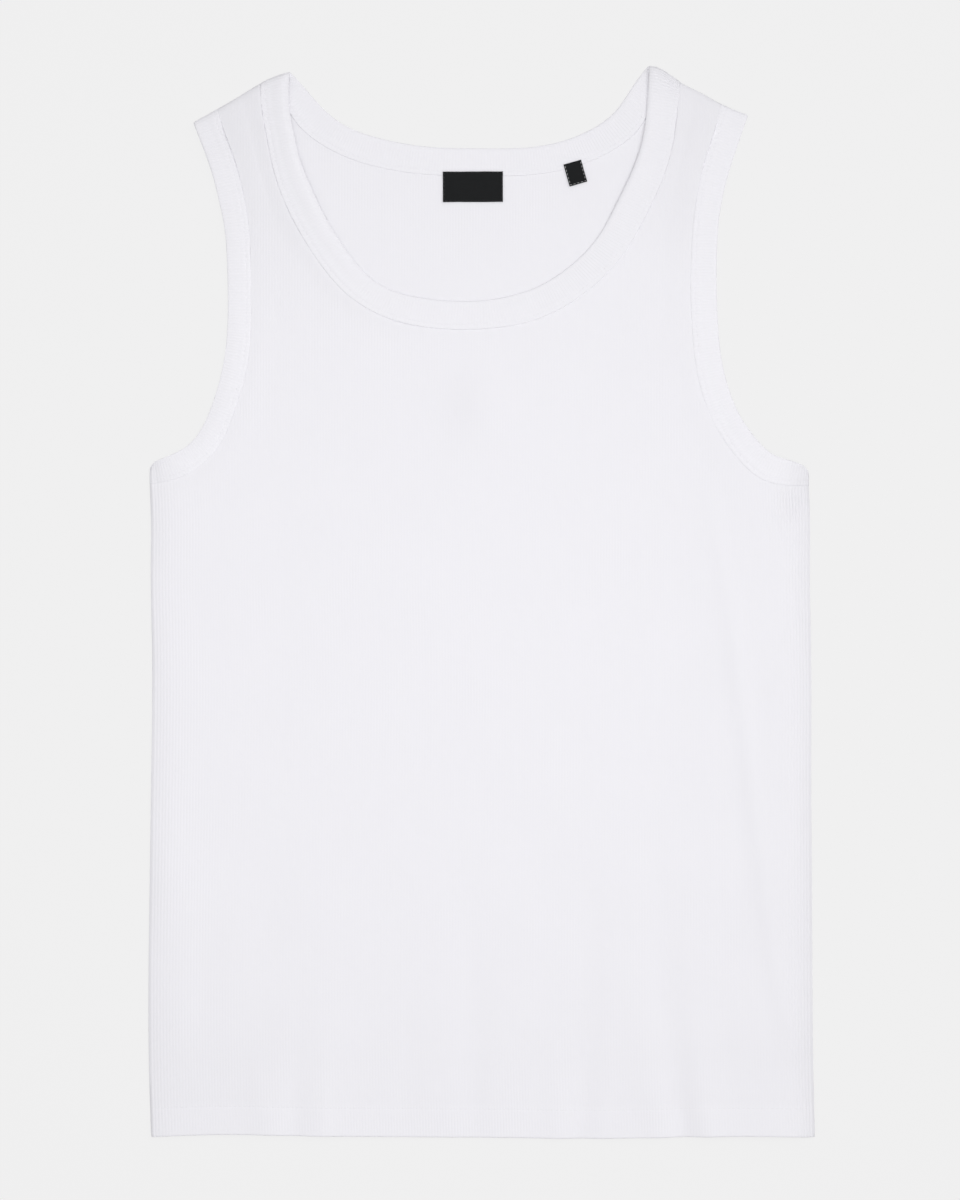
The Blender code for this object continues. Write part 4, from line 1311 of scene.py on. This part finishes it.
# ---------------------------------------------------------------- labels
def build_label(name, size, material, seed, curl):
    """A woven label: a thin patch with soft edges, lying on the back's inner face and half over the band's seam."""
    mid_x, mid_y, width, height, turn = size
    c, s = math.cos(math.radians(turn)), math.sin(math.radians(turn))
    nx, ny = int(width / 0.5), int(height / 0.5)

    def spread(n, span):
        inner = np.linspace(-0.5, 0.5, n) * (span - 0.5)
        return np.concatenate([[-span / 2, -span / 2 + 0.1], inner, [span / 2 - 0.1, span / 2]])

    us, vs = spread(nx, width), spread(ny, height)
    nu, nv = len(us), len(vs)
    u, v = [g.ravel() for g in np.meshgrid(us, vs)]
    wob = 0.12 * sway(u + 0.4 * v, seed, 11.0, 23.0) + 0.1 * sway(v, seed + 1, 9.0, 17.0)
    edge_wave = 1.0 + 0.004 * sway(u, seed + 2, 13.0, 29.0)
    plan = np.column_stack([mid_x + u * c - v * s * edge_wave, mid_y + u * s + v * c * edge_wave])
    seam_d, _, _ = nearest(plan, SEAM_BACK_NECK)
    above = plan[:, 1] > np.interp(plan[:, 0], SEAM_BACK_NECK[:, 0], SEAM_BACK_NECK[:, 1])
    signed = np.where(above, seam_d, -seam_d)
    under = 1.32 + 0.72 * smooth_step((signed + 3.5) / 5.0)
    edge = np.minimum(width / 2 - np.abs(u), height / 2 - np.abs(v))
    corner = curl * np.exp(-(((width / 2 - np.abs(u)) ** 2 + (height / 2 + v) ** 2) / 16.0))
    bottom = under + np.maximum(wob, -0.1) * smooth_step(edge / 3.0) + corner + 0.05
    soft = LABEL_CLOTH * (0.45 + 0.55 * rounding(edge, 0.45))
    turned = 0.16 * (1.0 - smooth_step((edge - 1.6) / 0.5))  # the label's ends are folded under
    turned *= 1.0 - smooth_step((np.abs(v) - (height / 2 - 0.2)) / 0.2) * 0.5
    top = bottom + soft + turned
    pts = np.vstack([np.column_stack([plan, top]), np.column_stack([plan, bottom + 0.1 * (1 - rounding(edge, 0.45))])])
    n = nu * nv
    grid = np.arange(n).reshape(nv, nu)
    q = np.stack([grid[:-1, :-1], grid[:-1, 1:], grid[1:, 1:], grid[1:, :-1]], -1).reshape(-1, 4)
    loop = np.concatenate([grid[0, :], grid[1:, -1], grid[-1, -2::-1], grid[-2:0:-1, 0]])
    nxt = np.roll(loop, -1)
    walls = np.column_stack([loop, loop + n, nxt + n, nxt])
    quads = np.vstack([q, q[:, ::-1] + n, walls])
    tris = np.vstack([quads[:, :3], quads[:, [0, 2, 3]]])
    if volume_sign(pts, tris) < 0:
        quads = quads[:, ::-1]
    weave = np.column_stack([np.tile(u, 2), np.tile(v, 2)])
    edge2 = np.column_stack([np.tile(edge, 2), np.tile(np.minimum(width / 2 - np.abs(u), 3.0), 2)])
    maps = {"Weave": corner_values(quads, weave), "Edge": corner_values(quads, edge2)}
    ob = make_object(name, pts, quads, maps, material, sharp=60.0)

    def place(pu, pv, high=0.0):
        pu, pv = np.asarray(pu, float), np.asarray(pv, float)
        x = mid_x + pu * c - pv * s
        y = mid_y + pu * s + pv * c
        iu = np.clip(np.searchsorted(us, pu), 1, nu - 1)
        iv = np.clip(np.searchsorted(vs, pv), 1, nv - 1)
        z = top.reshape(nv, nu)[iv, iu]
        return np.column_stack([x, y, z + high])

    return ob, place


# ---------------------------------------------------------------- materials
def node(tree, kind, x, y, **settings):
    n = tree.nodes.new(kind)
    n.location = (x, y)
    for key, value in settings.items():
        setattr(n, key, value)
    return n


def math_node(tree, op, a, b=None, x=0, y=0, clamp=False):
    n = node(tree, "ShaderNodeMath", x, y, operation=op, use_clamp=clamp)
    for k, value in enumerate((a, b)):
        if value is None:
            continue
        if isinstance(value, (int, float)):
            n.inputs[k].default_value = value
        else:
            tree.links.new(value, n.inputs[k])
    return n.outputs[0]


def knit_material(name, colour, ply_and_shade_gain, bump):
    """Ribbed cotton knit. The Knit map gives the place across the ribs, in ribs, and along them, in millimetres. The
    PlyAndShade map gives the ply with painted shade and painted light, and the painted shade in the grooves.
    """
    m = bpy.data.materials.new(name)
    m.use_nodes = True
    t = m.node_tree
    shader = t.nodes["Principled BSDF"]
    shader.inputs["Roughness"].default_value = 0.93
    shader.inputs["Specular IOR Level"].default_value = 0.25
    shader.inputs["Sheen Weight"].default_value = 0.12
    shader.inputs["Sheen Roughness"].default_value = 0.6
    knit = node(t, "ShaderNodeUVMap", -1600, 0, uv_map="Knit")
    split = node(t, "ShaderNodeSeparateXYZ", -1400, 0)
    t.links.new(knit.outputs[0], split.inputs[0])
    ply_and_groove_shade = node(t, "ShaderNodeUVMap", -1600, -300, uv_map="PlyAndShade")
    split_ply_and_groove_shade = node(t, "ShaderNodeSeparateXYZ", -1400, -300)
    t.links.new(ply_and_groove_shade.outputs[0], split_ply_and_groove_shade.inputs[0])
    across, along = split.outputs[0], split.outputs[1]
    ply_and_painted_shade, painted_groove_shade = split_ply_and_groove_shade.outputs[0], split_ply_and_groove_shade.outputs[1]
    # each loop is a V: two strands that lean in towards the rib's middle
    place = math_node(t, "FRACT", across, x=-1200, y=100)
    off = math_node(t, "ABSOLUTE", math_node(t, "SUBTRACT", place, 0.5, x=-1050, y=100), x=-900, y=100)
    rows = math_node(t, "MULTIPLY", along, 1.0 / COURSE, x=-1200, y=-50)
    lean = math_node(t, "MULTIPLY", off, 1.5, x=-750, y=100)
    phase = math_node(t, "ADD", rows, lean, x=-600, y=50)
    wave = math_node(t, "SINE", math_node(t, "MULTIPLY", phase, 2 * math.pi, x=-450, y=50), x=-300, y=50)
    # strands stand proud away from the rib's middle line and its grooves
    strand = math_node(t, "SINE", math_node(t, "MULTIPLY", off, 2 * math.pi, x=-750, y=250), x=-600, y=250)
    loops = math_node(t, "MULTIPLY", math_node(t, "MULTIPLY_ADD", wave, 0.5, x=-150, y=100), math_node(t, "ADD", strand, 0.35, x=-450, y=250), x=0, y=150)
    object_place = node(t, "ShaderNodeTexCoord", -1600, -600)
    fuzz = node(t, "ShaderNodeTexNoise", -1200, -500)
    fuzz.inputs["Scale"].default_value = 2600.0
    fuzz.inputs["Detail"].default_value = 2.0
    t.links.new(object_place.outputs["Object"], fuzz.inputs["Vector"])
    slow = node(t, "ShaderNodeTexNoise", -1200, -800)
    slow.inputs["Scale"].default_value = 22.0
    slow.inputs["Detail"].default_value = 3.0
    t.links.new(object_place.outputs["Object"], slow.inputs["Vector"])
    height = math_node(t, "ADD", loops, math_node(t, "MULTIPLY", fuzz.outputs["Fac"], 0.4, x=0, y=-300), x=150, y=0)
    bump_node = node(t, "ShaderNodeBump", 300, -200)
    bump_node.inputs["Strength"].default_value = bump
    bump_node.inputs["Distance"].default_value = 0.00007
    t.links.new(height, bump_node.inputs["Height"])
    t.links.new(bump_node.outputs[0], shader.inputs["Normal"])
    # colour: the ply map makes double cloth a little whiter and carries painted shade and painted light; painted shade
    # darkens the grooves between ribs
    tone = math_node(t, "MULTIPLY_ADD", ply_and_painted_shade, ply_and_shade_gain, x=0, y=-450)
    t.nodes[-1].inputs[2].default_value = 1.0
    painted_groove_factor = math_node(t, "MULTIPLY_ADD", painted_groove_shade, -0.045, x=0, y=-600)
    t.nodes[-1].inputs[2].default_value = 1.0
    cloud = math_node(t, "MULTIPLY_ADD", slow.outputs["Fac"], 0.018, x=0, y=-750)
    t.nodes[-1].inputs[2].default_value = 0.991
    speck = math_node(t, "MULTIPLY_ADD", fuzz.outputs["Fac"], 0.012, x=0, y=-900)
    t.nodes[-1].inputs[2].default_value = 0.994
    total = math_node(t, "MULTIPLY", math_node(t, "MULTIPLY", tone, painted_groove_factor, x=200, y=-500), math_node(t, "MULTIPLY", cloud, speck, x=200, y=-800), x=350, y=-600)
    paint = node(t, "ShaderNodeVectorMath", 500, -500, operation="SCALE")
    paint.inputs[0].default_value = colour
    t.links.new(total, paint.inputs["Scale"])
    t.links.new(paint.outputs[0], shader.inputs["Base Color"])
    return m


def thread_material(name, colour):
    m = bpy.data.materials.new(name)
    m.use_nodes = True
    t = m.node_tree
    shader = t.nodes["Principled BSDF"]
    shader.inputs["Roughness"].default_value = 0.7
    shader.inputs["Specular IOR Level"].default_value = 0.35
    shader.inputs["Sheen Weight"].default_value = 0.1
    place = node(t, "ShaderNodeTexCoord", -900, 0)
    twist = node(t, "ShaderNodeTexNoise", -600, 0)
    twist.inputs["Scale"].default_value = 5200.0
    twist.inputs["Detail"].default_value = 1.0
    t.links.new(place.outputs["Object"], twist.inputs["Vector"])
    tone = math_node(t, "MULTIPLY_ADD", twist.outputs["Fac"], 0.12, x=-350, y=0)
    t.nodes[-1].inputs[2].default_value = 0.94
    paint = node(t, "ShaderNodeVectorMath", -150, 0, operation="SCALE")
    paint.inputs[0].default_value = colour
    t.links.new(tone, paint.inputs["Scale"])
    t.links.new(paint.outputs[0], shader.inputs["Base Color"])
    bump_node = node(t, "ShaderNodeBump", -150, -250)
    bump_node.inputs["Strength"].default_value = 0.5
    bump_node.inputs["Distance"].default_value = 0.00005
    t.links.new(twist.outputs["Fac"], bump_node.inputs["Height"])
    t.links.new(bump_node.outputs[0], shader.inputs["Normal"])
    return m


def label_material(name):
    """Black woven satin: fine threads across."""
    m = bpy.data.materials.new(name)
    m.use_nodes = True
    t = m.node_tree
    shader = t.nodes["Principled BSDF"]
    shader.inputs["Roughness"].default_value = 0.6
    shader.inputs["Specular IOR Level"].default_value = 0.18
    weave = node(t, "ShaderNodeUVMap", -1400, 0, uv_map="Weave")
    split = node(t, "ShaderNodeSeparateXYZ", -1200, 0)
    t.links.new(weave.outputs[0], split.inputs[0])
    edge = node(t, "ShaderNodeUVMap", -1400, -400, uv_map="Edge")
    split_edge = node(t, "ShaderNodeSeparateXYZ", -1200, -400)
    t.links.new(edge.outputs[0], split_edge.inputs[0])
    pick = math_node(t, "SINE", math_node(t, "MULTIPLY", split.outputs[1], 2 * math.pi / 0.34, x=-1000, y=100), x=-850, y=100)
    warp = math_node(t, "SINE", math_node(t, "MULTIPLY", split.outputs[0], 2 * math.pi / 0.42, x=-1000, y=-50), x=-850, y=-50)
    step = math_node(t, "MULTIPLY", pick, warp, x=-650, y=0)
    rows = math_node(t, "MULTIPLY_ADD", pick, 0.6, x=-650, y=150)
    height = math_node(t, "ADD", rows, step, x=-450, y=100)
    place = node(t, "ShaderNodeTexCoord", -1400, -700)
    noise = node(t, "ShaderNodeTexNoise", -1100, -700)
    noise.inputs["Scale"].default_value = 1800.0
    noise.inputs["Detail"].default_value = 2.0
    t.links.new(place.outputs["Object"], noise.inputs["Vector"])
    tone = math_node(t, "MULTIPLY_ADD", height, 0.14, x=-250, y=-100)
    t.nodes[-1].inputs[2].default_value = 0.92
    fleck = math_node(t, "MULTIPLY_ADD", noise.outputs["Fac"], 0.5, x=-250, y=-350)
    t.nodes[-1].inputs[2].default_value = 0.78
    paint = node(t, "ShaderNodeVectorMath", 0, -100, operation="SCALE")
    paint.inputs[0].default_value = (0.0052, 0.0058, 0.0066)
    t.links.new(math_node(t, "MULTIPLY", tone, fleck, x=-100, y=-200), paint.inputs["Scale"])
    t.links.new(paint.outputs[0], shader.inputs["Base Color"])
    bump_node = node(t, "ShaderNodeBump", 0, -400)
    bump_node.inputs["Strength"].default_value = 0.7
    bump_node.inputs["Distance"].default_value = 0.00006
    t.links.new(height, bump_node.inputs["Height"])
    t.links.new(bump_node.outputs[0], shader.inputs["Normal"])
    return m


WHITE = (0.795, 0.787, 0.823)
rib_cloth = knit_material("rib_cloth", WHITE, 0.016, 0.3)
band_cloth = knit_material("band_cloth", WHITE, 0.006, 0.2)
white_thread = thread_material("white_thread", (0.79, 0.783, 0.816))
hem_thread = thread_material("hem_thread", (0.735, 0.729, 0.76))
grey_thread = thread_material("label_thread", (0.42, 0.42, 0.43))
black_thread = thread_material("black_thread", (0.02, 0.02, 0.022))
label_weave = label_material("label_weave")

# ---------------------------------------------------------------- the pieces
def neck_strap(p):
    """0 at the middle of the front neck, 1 on its two straps."""
    low = np.where(p[:, 0] < 0.0, 200.0, 216.0)
    return smooth_step((p[:, 1] - low) / (290.0 - low)) * smooth_step((np.abs(p[:, 0] + 9.0) - 60.0) / 50.0)


def neck_lift(p, s, share):
    """The front neck band's free edge sinks onto the back at the middle. On the straps it stands off the back and curls
    down along the very edge."""
    left = p[:, 0] < 0.0
    strap = np.where(left, 2.9, 1.05)
    curl = np.where(left, 2.5, 0.6) * np.exp(-((share * 19.7 / np.where(left, 3.6, 1.7)) ** 2))
    held = neck_strap(p)
    low = lower_left_neck(p)
    lift = strap * held - 0.6 - 0.26 * (1.0 - held) + 0.6 * low
    return lift * (1.0 - smooth_step(share / 0.95)) - curl * held - 0.7 * low * np.exp(-((share * 19.7 / 3.3) ** 2))


def neck_roll(free, layer):
    """The neck band's free edge rolls over in a wider curve on the straps."""
    if layer == "back":
        return np.full(len(free), EDGE_RUN)
    strap = smooth_step((free[:, 1] - 225.0) / 50.0)
    return EDGE_RUN + 0.3 + (1.2 + 0.5 * (free[:, 0] > 0.0)) * strap


def neck_inset(free):
    """The rolled edge lies this far inside the edge line."""
    right = smooth_step((free[:, 0] - 15.0) / 30.0)
    left = smooth_step((-40.0 - free[:, 0]) / 25.0)
    high = smooth_step((free[:, 1] - 240.0) / 40.0)
    return 0.05 + right * (0.65 + 0.05 * high) + 0.7 * left * (1.0 - 0.5 * smooth_step((free[:, 1] - 290.0) / 30.0))


def neck_thin(free):
    return 0.5 * (1.0 - neck_strap(free))


def arm_thin(free):
    """The left armhole's edge is pressed flat, except near the shoulder."""
    return (0.62 + 0.35 * smooth_step((225.0 - free[:, 1]) / 70.0)) * (1.0 - smooth_step((free[:, 1] - 265.0) / 45.0))


def neck_ribbed(middle):
    """The ribs open over the shoulder folds, most on the right."""
    d, _ = fold_near(middle)
    return np.exp(-((d / 13.0) ** 2)) * np.where(middle[:, 0] > 0.0, 1.3, 0.35)


def neck_painted_shading(middle):
    """Painted shade on the band near the shoulder folds, widest on the left and deepest on the right, and a little at
    the lower left of the neck.
    """
    d, _ = fold_near(middle)
    left = middle[:, 0] < 0.0
    return np.where(left, -4.0, -8.5) * np.exp(-((d / np.where(left, 22.0, 4.5)) ** 2)) - 1.0 * lower_left_neck(middle)


def arm_painted_shading(middle):
    """Painted shade on the bands where they turn over the side folds under the arms and over the shoulder folds, and a
    lighter stretch along the left band's middle.
    """
    right = middle[:, 0] > 0.0
    d = side_distance(middle)
    under = -11.0 * np.exp(-((d / 13.0) ** 2))
    under = np.where(right, under, -18.0 * np.exp(-((d / 9.3) ** 2)) * (1.0 - np.exp(-((d / 4.2) ** 4))) - 2.5 * np.exp(-(((d - 17.0) / 7.0) ** 2)))
    under *= middle[:, 1] < 130.0
    under += 2.0 * np.exp(-(((middle[:, 1] - 178.0) / 35.0) ** 2)) * (~right)
    d, _ = fold_near(middle)
    run = np.where(right, 13.0, 38.0)
    over = np.exp(-((d / run) ** 2)) * np.where(right, -2.5, -6.0)
    over = np.where(right, over, (over - 2.0 * np.exp(-((d / 8.0) ** 2))) * (1.0 - 0.8 * np.exp(-((d / 2.0) ** 2))))
    return under + over * (middle[:, 1] > 200.0)


front = build_panel("front_panel_cloth", "front", SEAM_FRONT_NECK, rib_cloth)
back = build_panel("back_panel_cloth", "back", SEAM_BACK_NECK, rib_cloth)
neck = build_band("neck_band", band_cloth, 31, NECK_SECTION, lift=neck_lift, roll=neck_roll, inset=neck_inset, thin=neck_thin, ribbed=neck_ribbed, tone=neck_painted_shading, shown=0.25, ease_lip=lambda m: 0.6 * lower_left_neck(m))
left_corner = ((-226.0, 94.0), (0.93, 0.37), (0.0, -1.0), 4.5)
right_corner = ((222.5, 91.0), (-0.93, 0.37), (0.0, -1.0), 5.0)
arm_left = build_band("armhole_band_left", band_cloth, 41, ARM_SECTION, corner=left_corner, thin=arm_thin, ply_and_painted_shade=3.4, tone=arm_painted_shading, shown=0.35, sunk=0.35)
arm_right = build_band("armhole_band_right", band_cloth, 51, ARM_SECTION, corner=right_corner, ply_and_painted_shade=2.6, tone=arm_painted_shading, shown=0.35)
brand, on_brand = build_label("brand_label_woven", BRAND_LABEL, label_weave, 61, 0.25)
size_tab, on_size = build_label("size_label_woven", SIZE_LABEL, label_weave, 71, 0.35)


def band_runs(name, inner):
    extra = BAND_EXTRA[name]
    points, normals = extra["outer"]
    runs = [(points, normals, True)]
    if inner:
        where = np.nonzero(extra["back"])[0]
        runs.append((extra["inner"][0][where], extra["inner"][1][where], False))
    return runs


neck_stitch = build_stitches("neck_topstitch", band_runs("neck_band", True), white_thread)
left_stitch = build_stitches("armhole_topstitch_left", band_runs("armhole_band_left", False), white_thread)
right_stitch = build_stitches("armhole_topstitch_right", band_runs("armhole_band_right", False), white_thread)


def hem_run(layer):
    """The hem's stitch line over a panel, on its outer face."""
    x = np.linspace(-221.5, 221.5, 900)
    y = hem_y(x) + HEM_STITCH
    plan = np.column_stack([x, y])
    d_fold, _, d_neck, d_arm = distances(plan, ())
    if layer == "front":
        z = front_outer(plan, d_fold, d_neck, d_arm) - 0.06 - 0.08
        slope = np.gradient(z, x)
        n = unit(np.column_stack([-slope, np.zeros(len(x)), np.ones(len(x))]))
    else:
        z = back_outer(plan, d_fold) + 0.06 + 0.08
        slope = np.gradient(z, x)
        n = unit(np.column_stack([slope, np.zeros(len(x)), -np.ones(len(x))]))
    return np.column_stack([plan, z]), n, False


hem_stitch_front = build_stitches("hem_stitch_front", [hem_run("front")], hem_thread, proud=0.02)
hem_stitch_back = build_stitches("hem_stitch_back", [hem_run("back")], hem_thread, proud=0.0)


def label_stitches(name, place, path, material, length, gap, radius):
    pts = []
    for a, b in zip(path[:-1], path[1:]):
        n = max(2, int(math.dist(a, b) / 0.25))
        pts.append(np.column_stack([np.linspace(a[0], b[0], n), np.linspace(a[1], b[1], n)])[: -1])
    pts = np.vstack(pts + [np.array([path[-1]])])
    line = place(pts[:, 0], pts[:, 1], 0.0)
    n = np.tile([0.0, 0.0, 1.0], (len(line), 1))
    return build_stitches(name, [(line, n, False)], material, length, gap, radius, proud=0.06)


_w, _h = BRAND_LABEL[2] / 2 - 0.8, BRAND_LABEL[3] / 2 - 0.8
brand_stitch = label_stitches("brand_label_stitch", on_brand, [(-_w, -_h), (_w, -_h), (_w, _h), (-_w, _h), (-_w, -_h)], black_thread, 2.2, 0.6, 0.13)
_w, _h = SIZE_LABEL[2] / 2 - 0.75, SIZE_LABEL[3] / 2 - 0.75
size_stitch = label_stitches("size_label_stitch", on_size, [(-_w, _h), (-_w, -_h), (_w, -_h), (_w, _h)], grey_thread, 1.7, 0.9, 0.14)

for piece, replaced, slot in (
    (front, "front_panel", "rib_cloth"),
    (back, "back_panel", "rib_cloth"),
    (neck, "neck_band", "band_cloth"),
    (arm_left, "armhole_band_left", "band_cloth"),
    (arm_right, "armhole_band_right", "band_cloth"),
    (brand, "brand_label", "label_weave"),
    (size_tab, "size_label", "label_weave"),
):
    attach(piece, "root")
    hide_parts(replaced)
for piece in (neck_stitch, left_stitch, right_stitch):
    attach(piece, "root")
for piece in (hem_stitch_front, hem_stitch_back):
    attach(piece, "root")
for piece in (brand_stitch, size_stitch):
    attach(piece, "root")


def plan_area(neck_seam):
    outline, _ = panel_outline(neck_seam)
    p = to_plan(outline)
    q = np.roll(p, -1, axis=0)
    return abs((p[:, 0] * q[:, 1] - p[:, 1] * q[:, 0]).sum()) / 2 * 1e-6


plan_area(SEAM_FRONT_NECK)
plan_area(SEAM_BACK_NECK)

# ---------------------------------------------------------------- floor, light and camera
scene = bpy.context.scene
scene.view_settings.view_transform = "Standard"

floor_mesh = bpy.data.meshes.new("floor")
floor_mesh.from_pydata([(-4, -4, -0.0001), (4, -4, -0.0001), (4, 4, -0.0001), (-4, 4, -0.0001)], [], [(0, 1, 2, 3)])
floor = bpy.data.objects.new("floor", floor_mesh)
scene.collection.objects.link(floor)
paper = bpy.data.materials.new("pale_paper")
paper.use_nodes = True
_t = paper.node_tree
_shader = _t.nodes["Principled BSDF"]
_shader.inputs["Roughness"].default_value = 0.95
_shader.inputs["Specular IOR Level"].default_value = 0.1
_place = node(_t, "ShaderNodeTexCoord", -700, 0)
_grain = node(_t, "ShaderNodeTexNoise", -500, 0)
_grain.inputs["Scale"].default_value = 900.0
_t.links.new(_place.outputs["Object"], _grain.inputs["Vector"])
_tone = math_node(_t, "MULTIPLY_ADD", _grain.outputs["Fac"], 0.01, x=-300, y=0)
_t.nodes[-1].inputs[2].default_value = 0.995
_paint = node(_t, "ShaderNodeVectorMath", -150, 0, operation="SCALE")
_paint.inputs[0].default_value = (0.06, 0.06, 0.06)
_t.links.new(_tone, _paint.inputs["Scale"])
_t.links.new(_paint.outputs[0], _shader.inputs["Base Color"])
# a lit table: most of its brightness is its own, so the garment's shadow on it is faint
_shader.inputs["Emission Color"].default_value = (1.0, 0.998, 1.0, 1.0)
_shader.inputs["Emission Strength"].default_value = 0.804
floor_mesh.materials.append(paper)

world = bpy.data.worlds.new("studio")
world.use_nodes = True
world.node_tree.nodes["Background"].inputs["Color"].default_value = (1.0, 1.0, 1.0, 1.0)
world.node_tree.nodes["Background"].inputs["Strength"].default_value = 0.5
scene.world = world


def area_light(name, place, aim, size, power):
    data = bpy.data.lights.new(name, "AREA")
    data.shape = "SQUARE"
    data.size = size
    data.energy = power
    ob = bpy.data.objects.new(name, data)
    ob.location = place
    ob.rotation_euler = (Vector(aim) - Vector(place)).to_track_quat("-Z", "Y").to_euler()
    ob.visible_camera = False
    scene.collection.objects.link(ob)
    return ob


area_light("soft_box_overhead", (0.01, -0.021, 1.3), (0.01, -0.021, 0.0), 0.8, 9.0)
area_light("soft_box_right", (4.0, 2.6, 4.8), (0.0, 0.0, 0.0), 3.2, 92.0)

DISTANCE = 2.2
camera_data = bpy.data.cameras.new("camera")
camera_data.sensor_width = 36.0
camera_data.lens = 36.0 * DISTANCE / 0.816
camera_data.clip_start, camera_data.clip_end = 0.05, 20.0
camera = bpy.data.objects.new("camera", camera_data)
camera.location = (-0.00136, 0.00109, DISTANCE + 0.003)
camera.rotation_euler = (0.0, 0.0, 0.0)
scene.collection.objects.link(camera)
scene.camera = camera
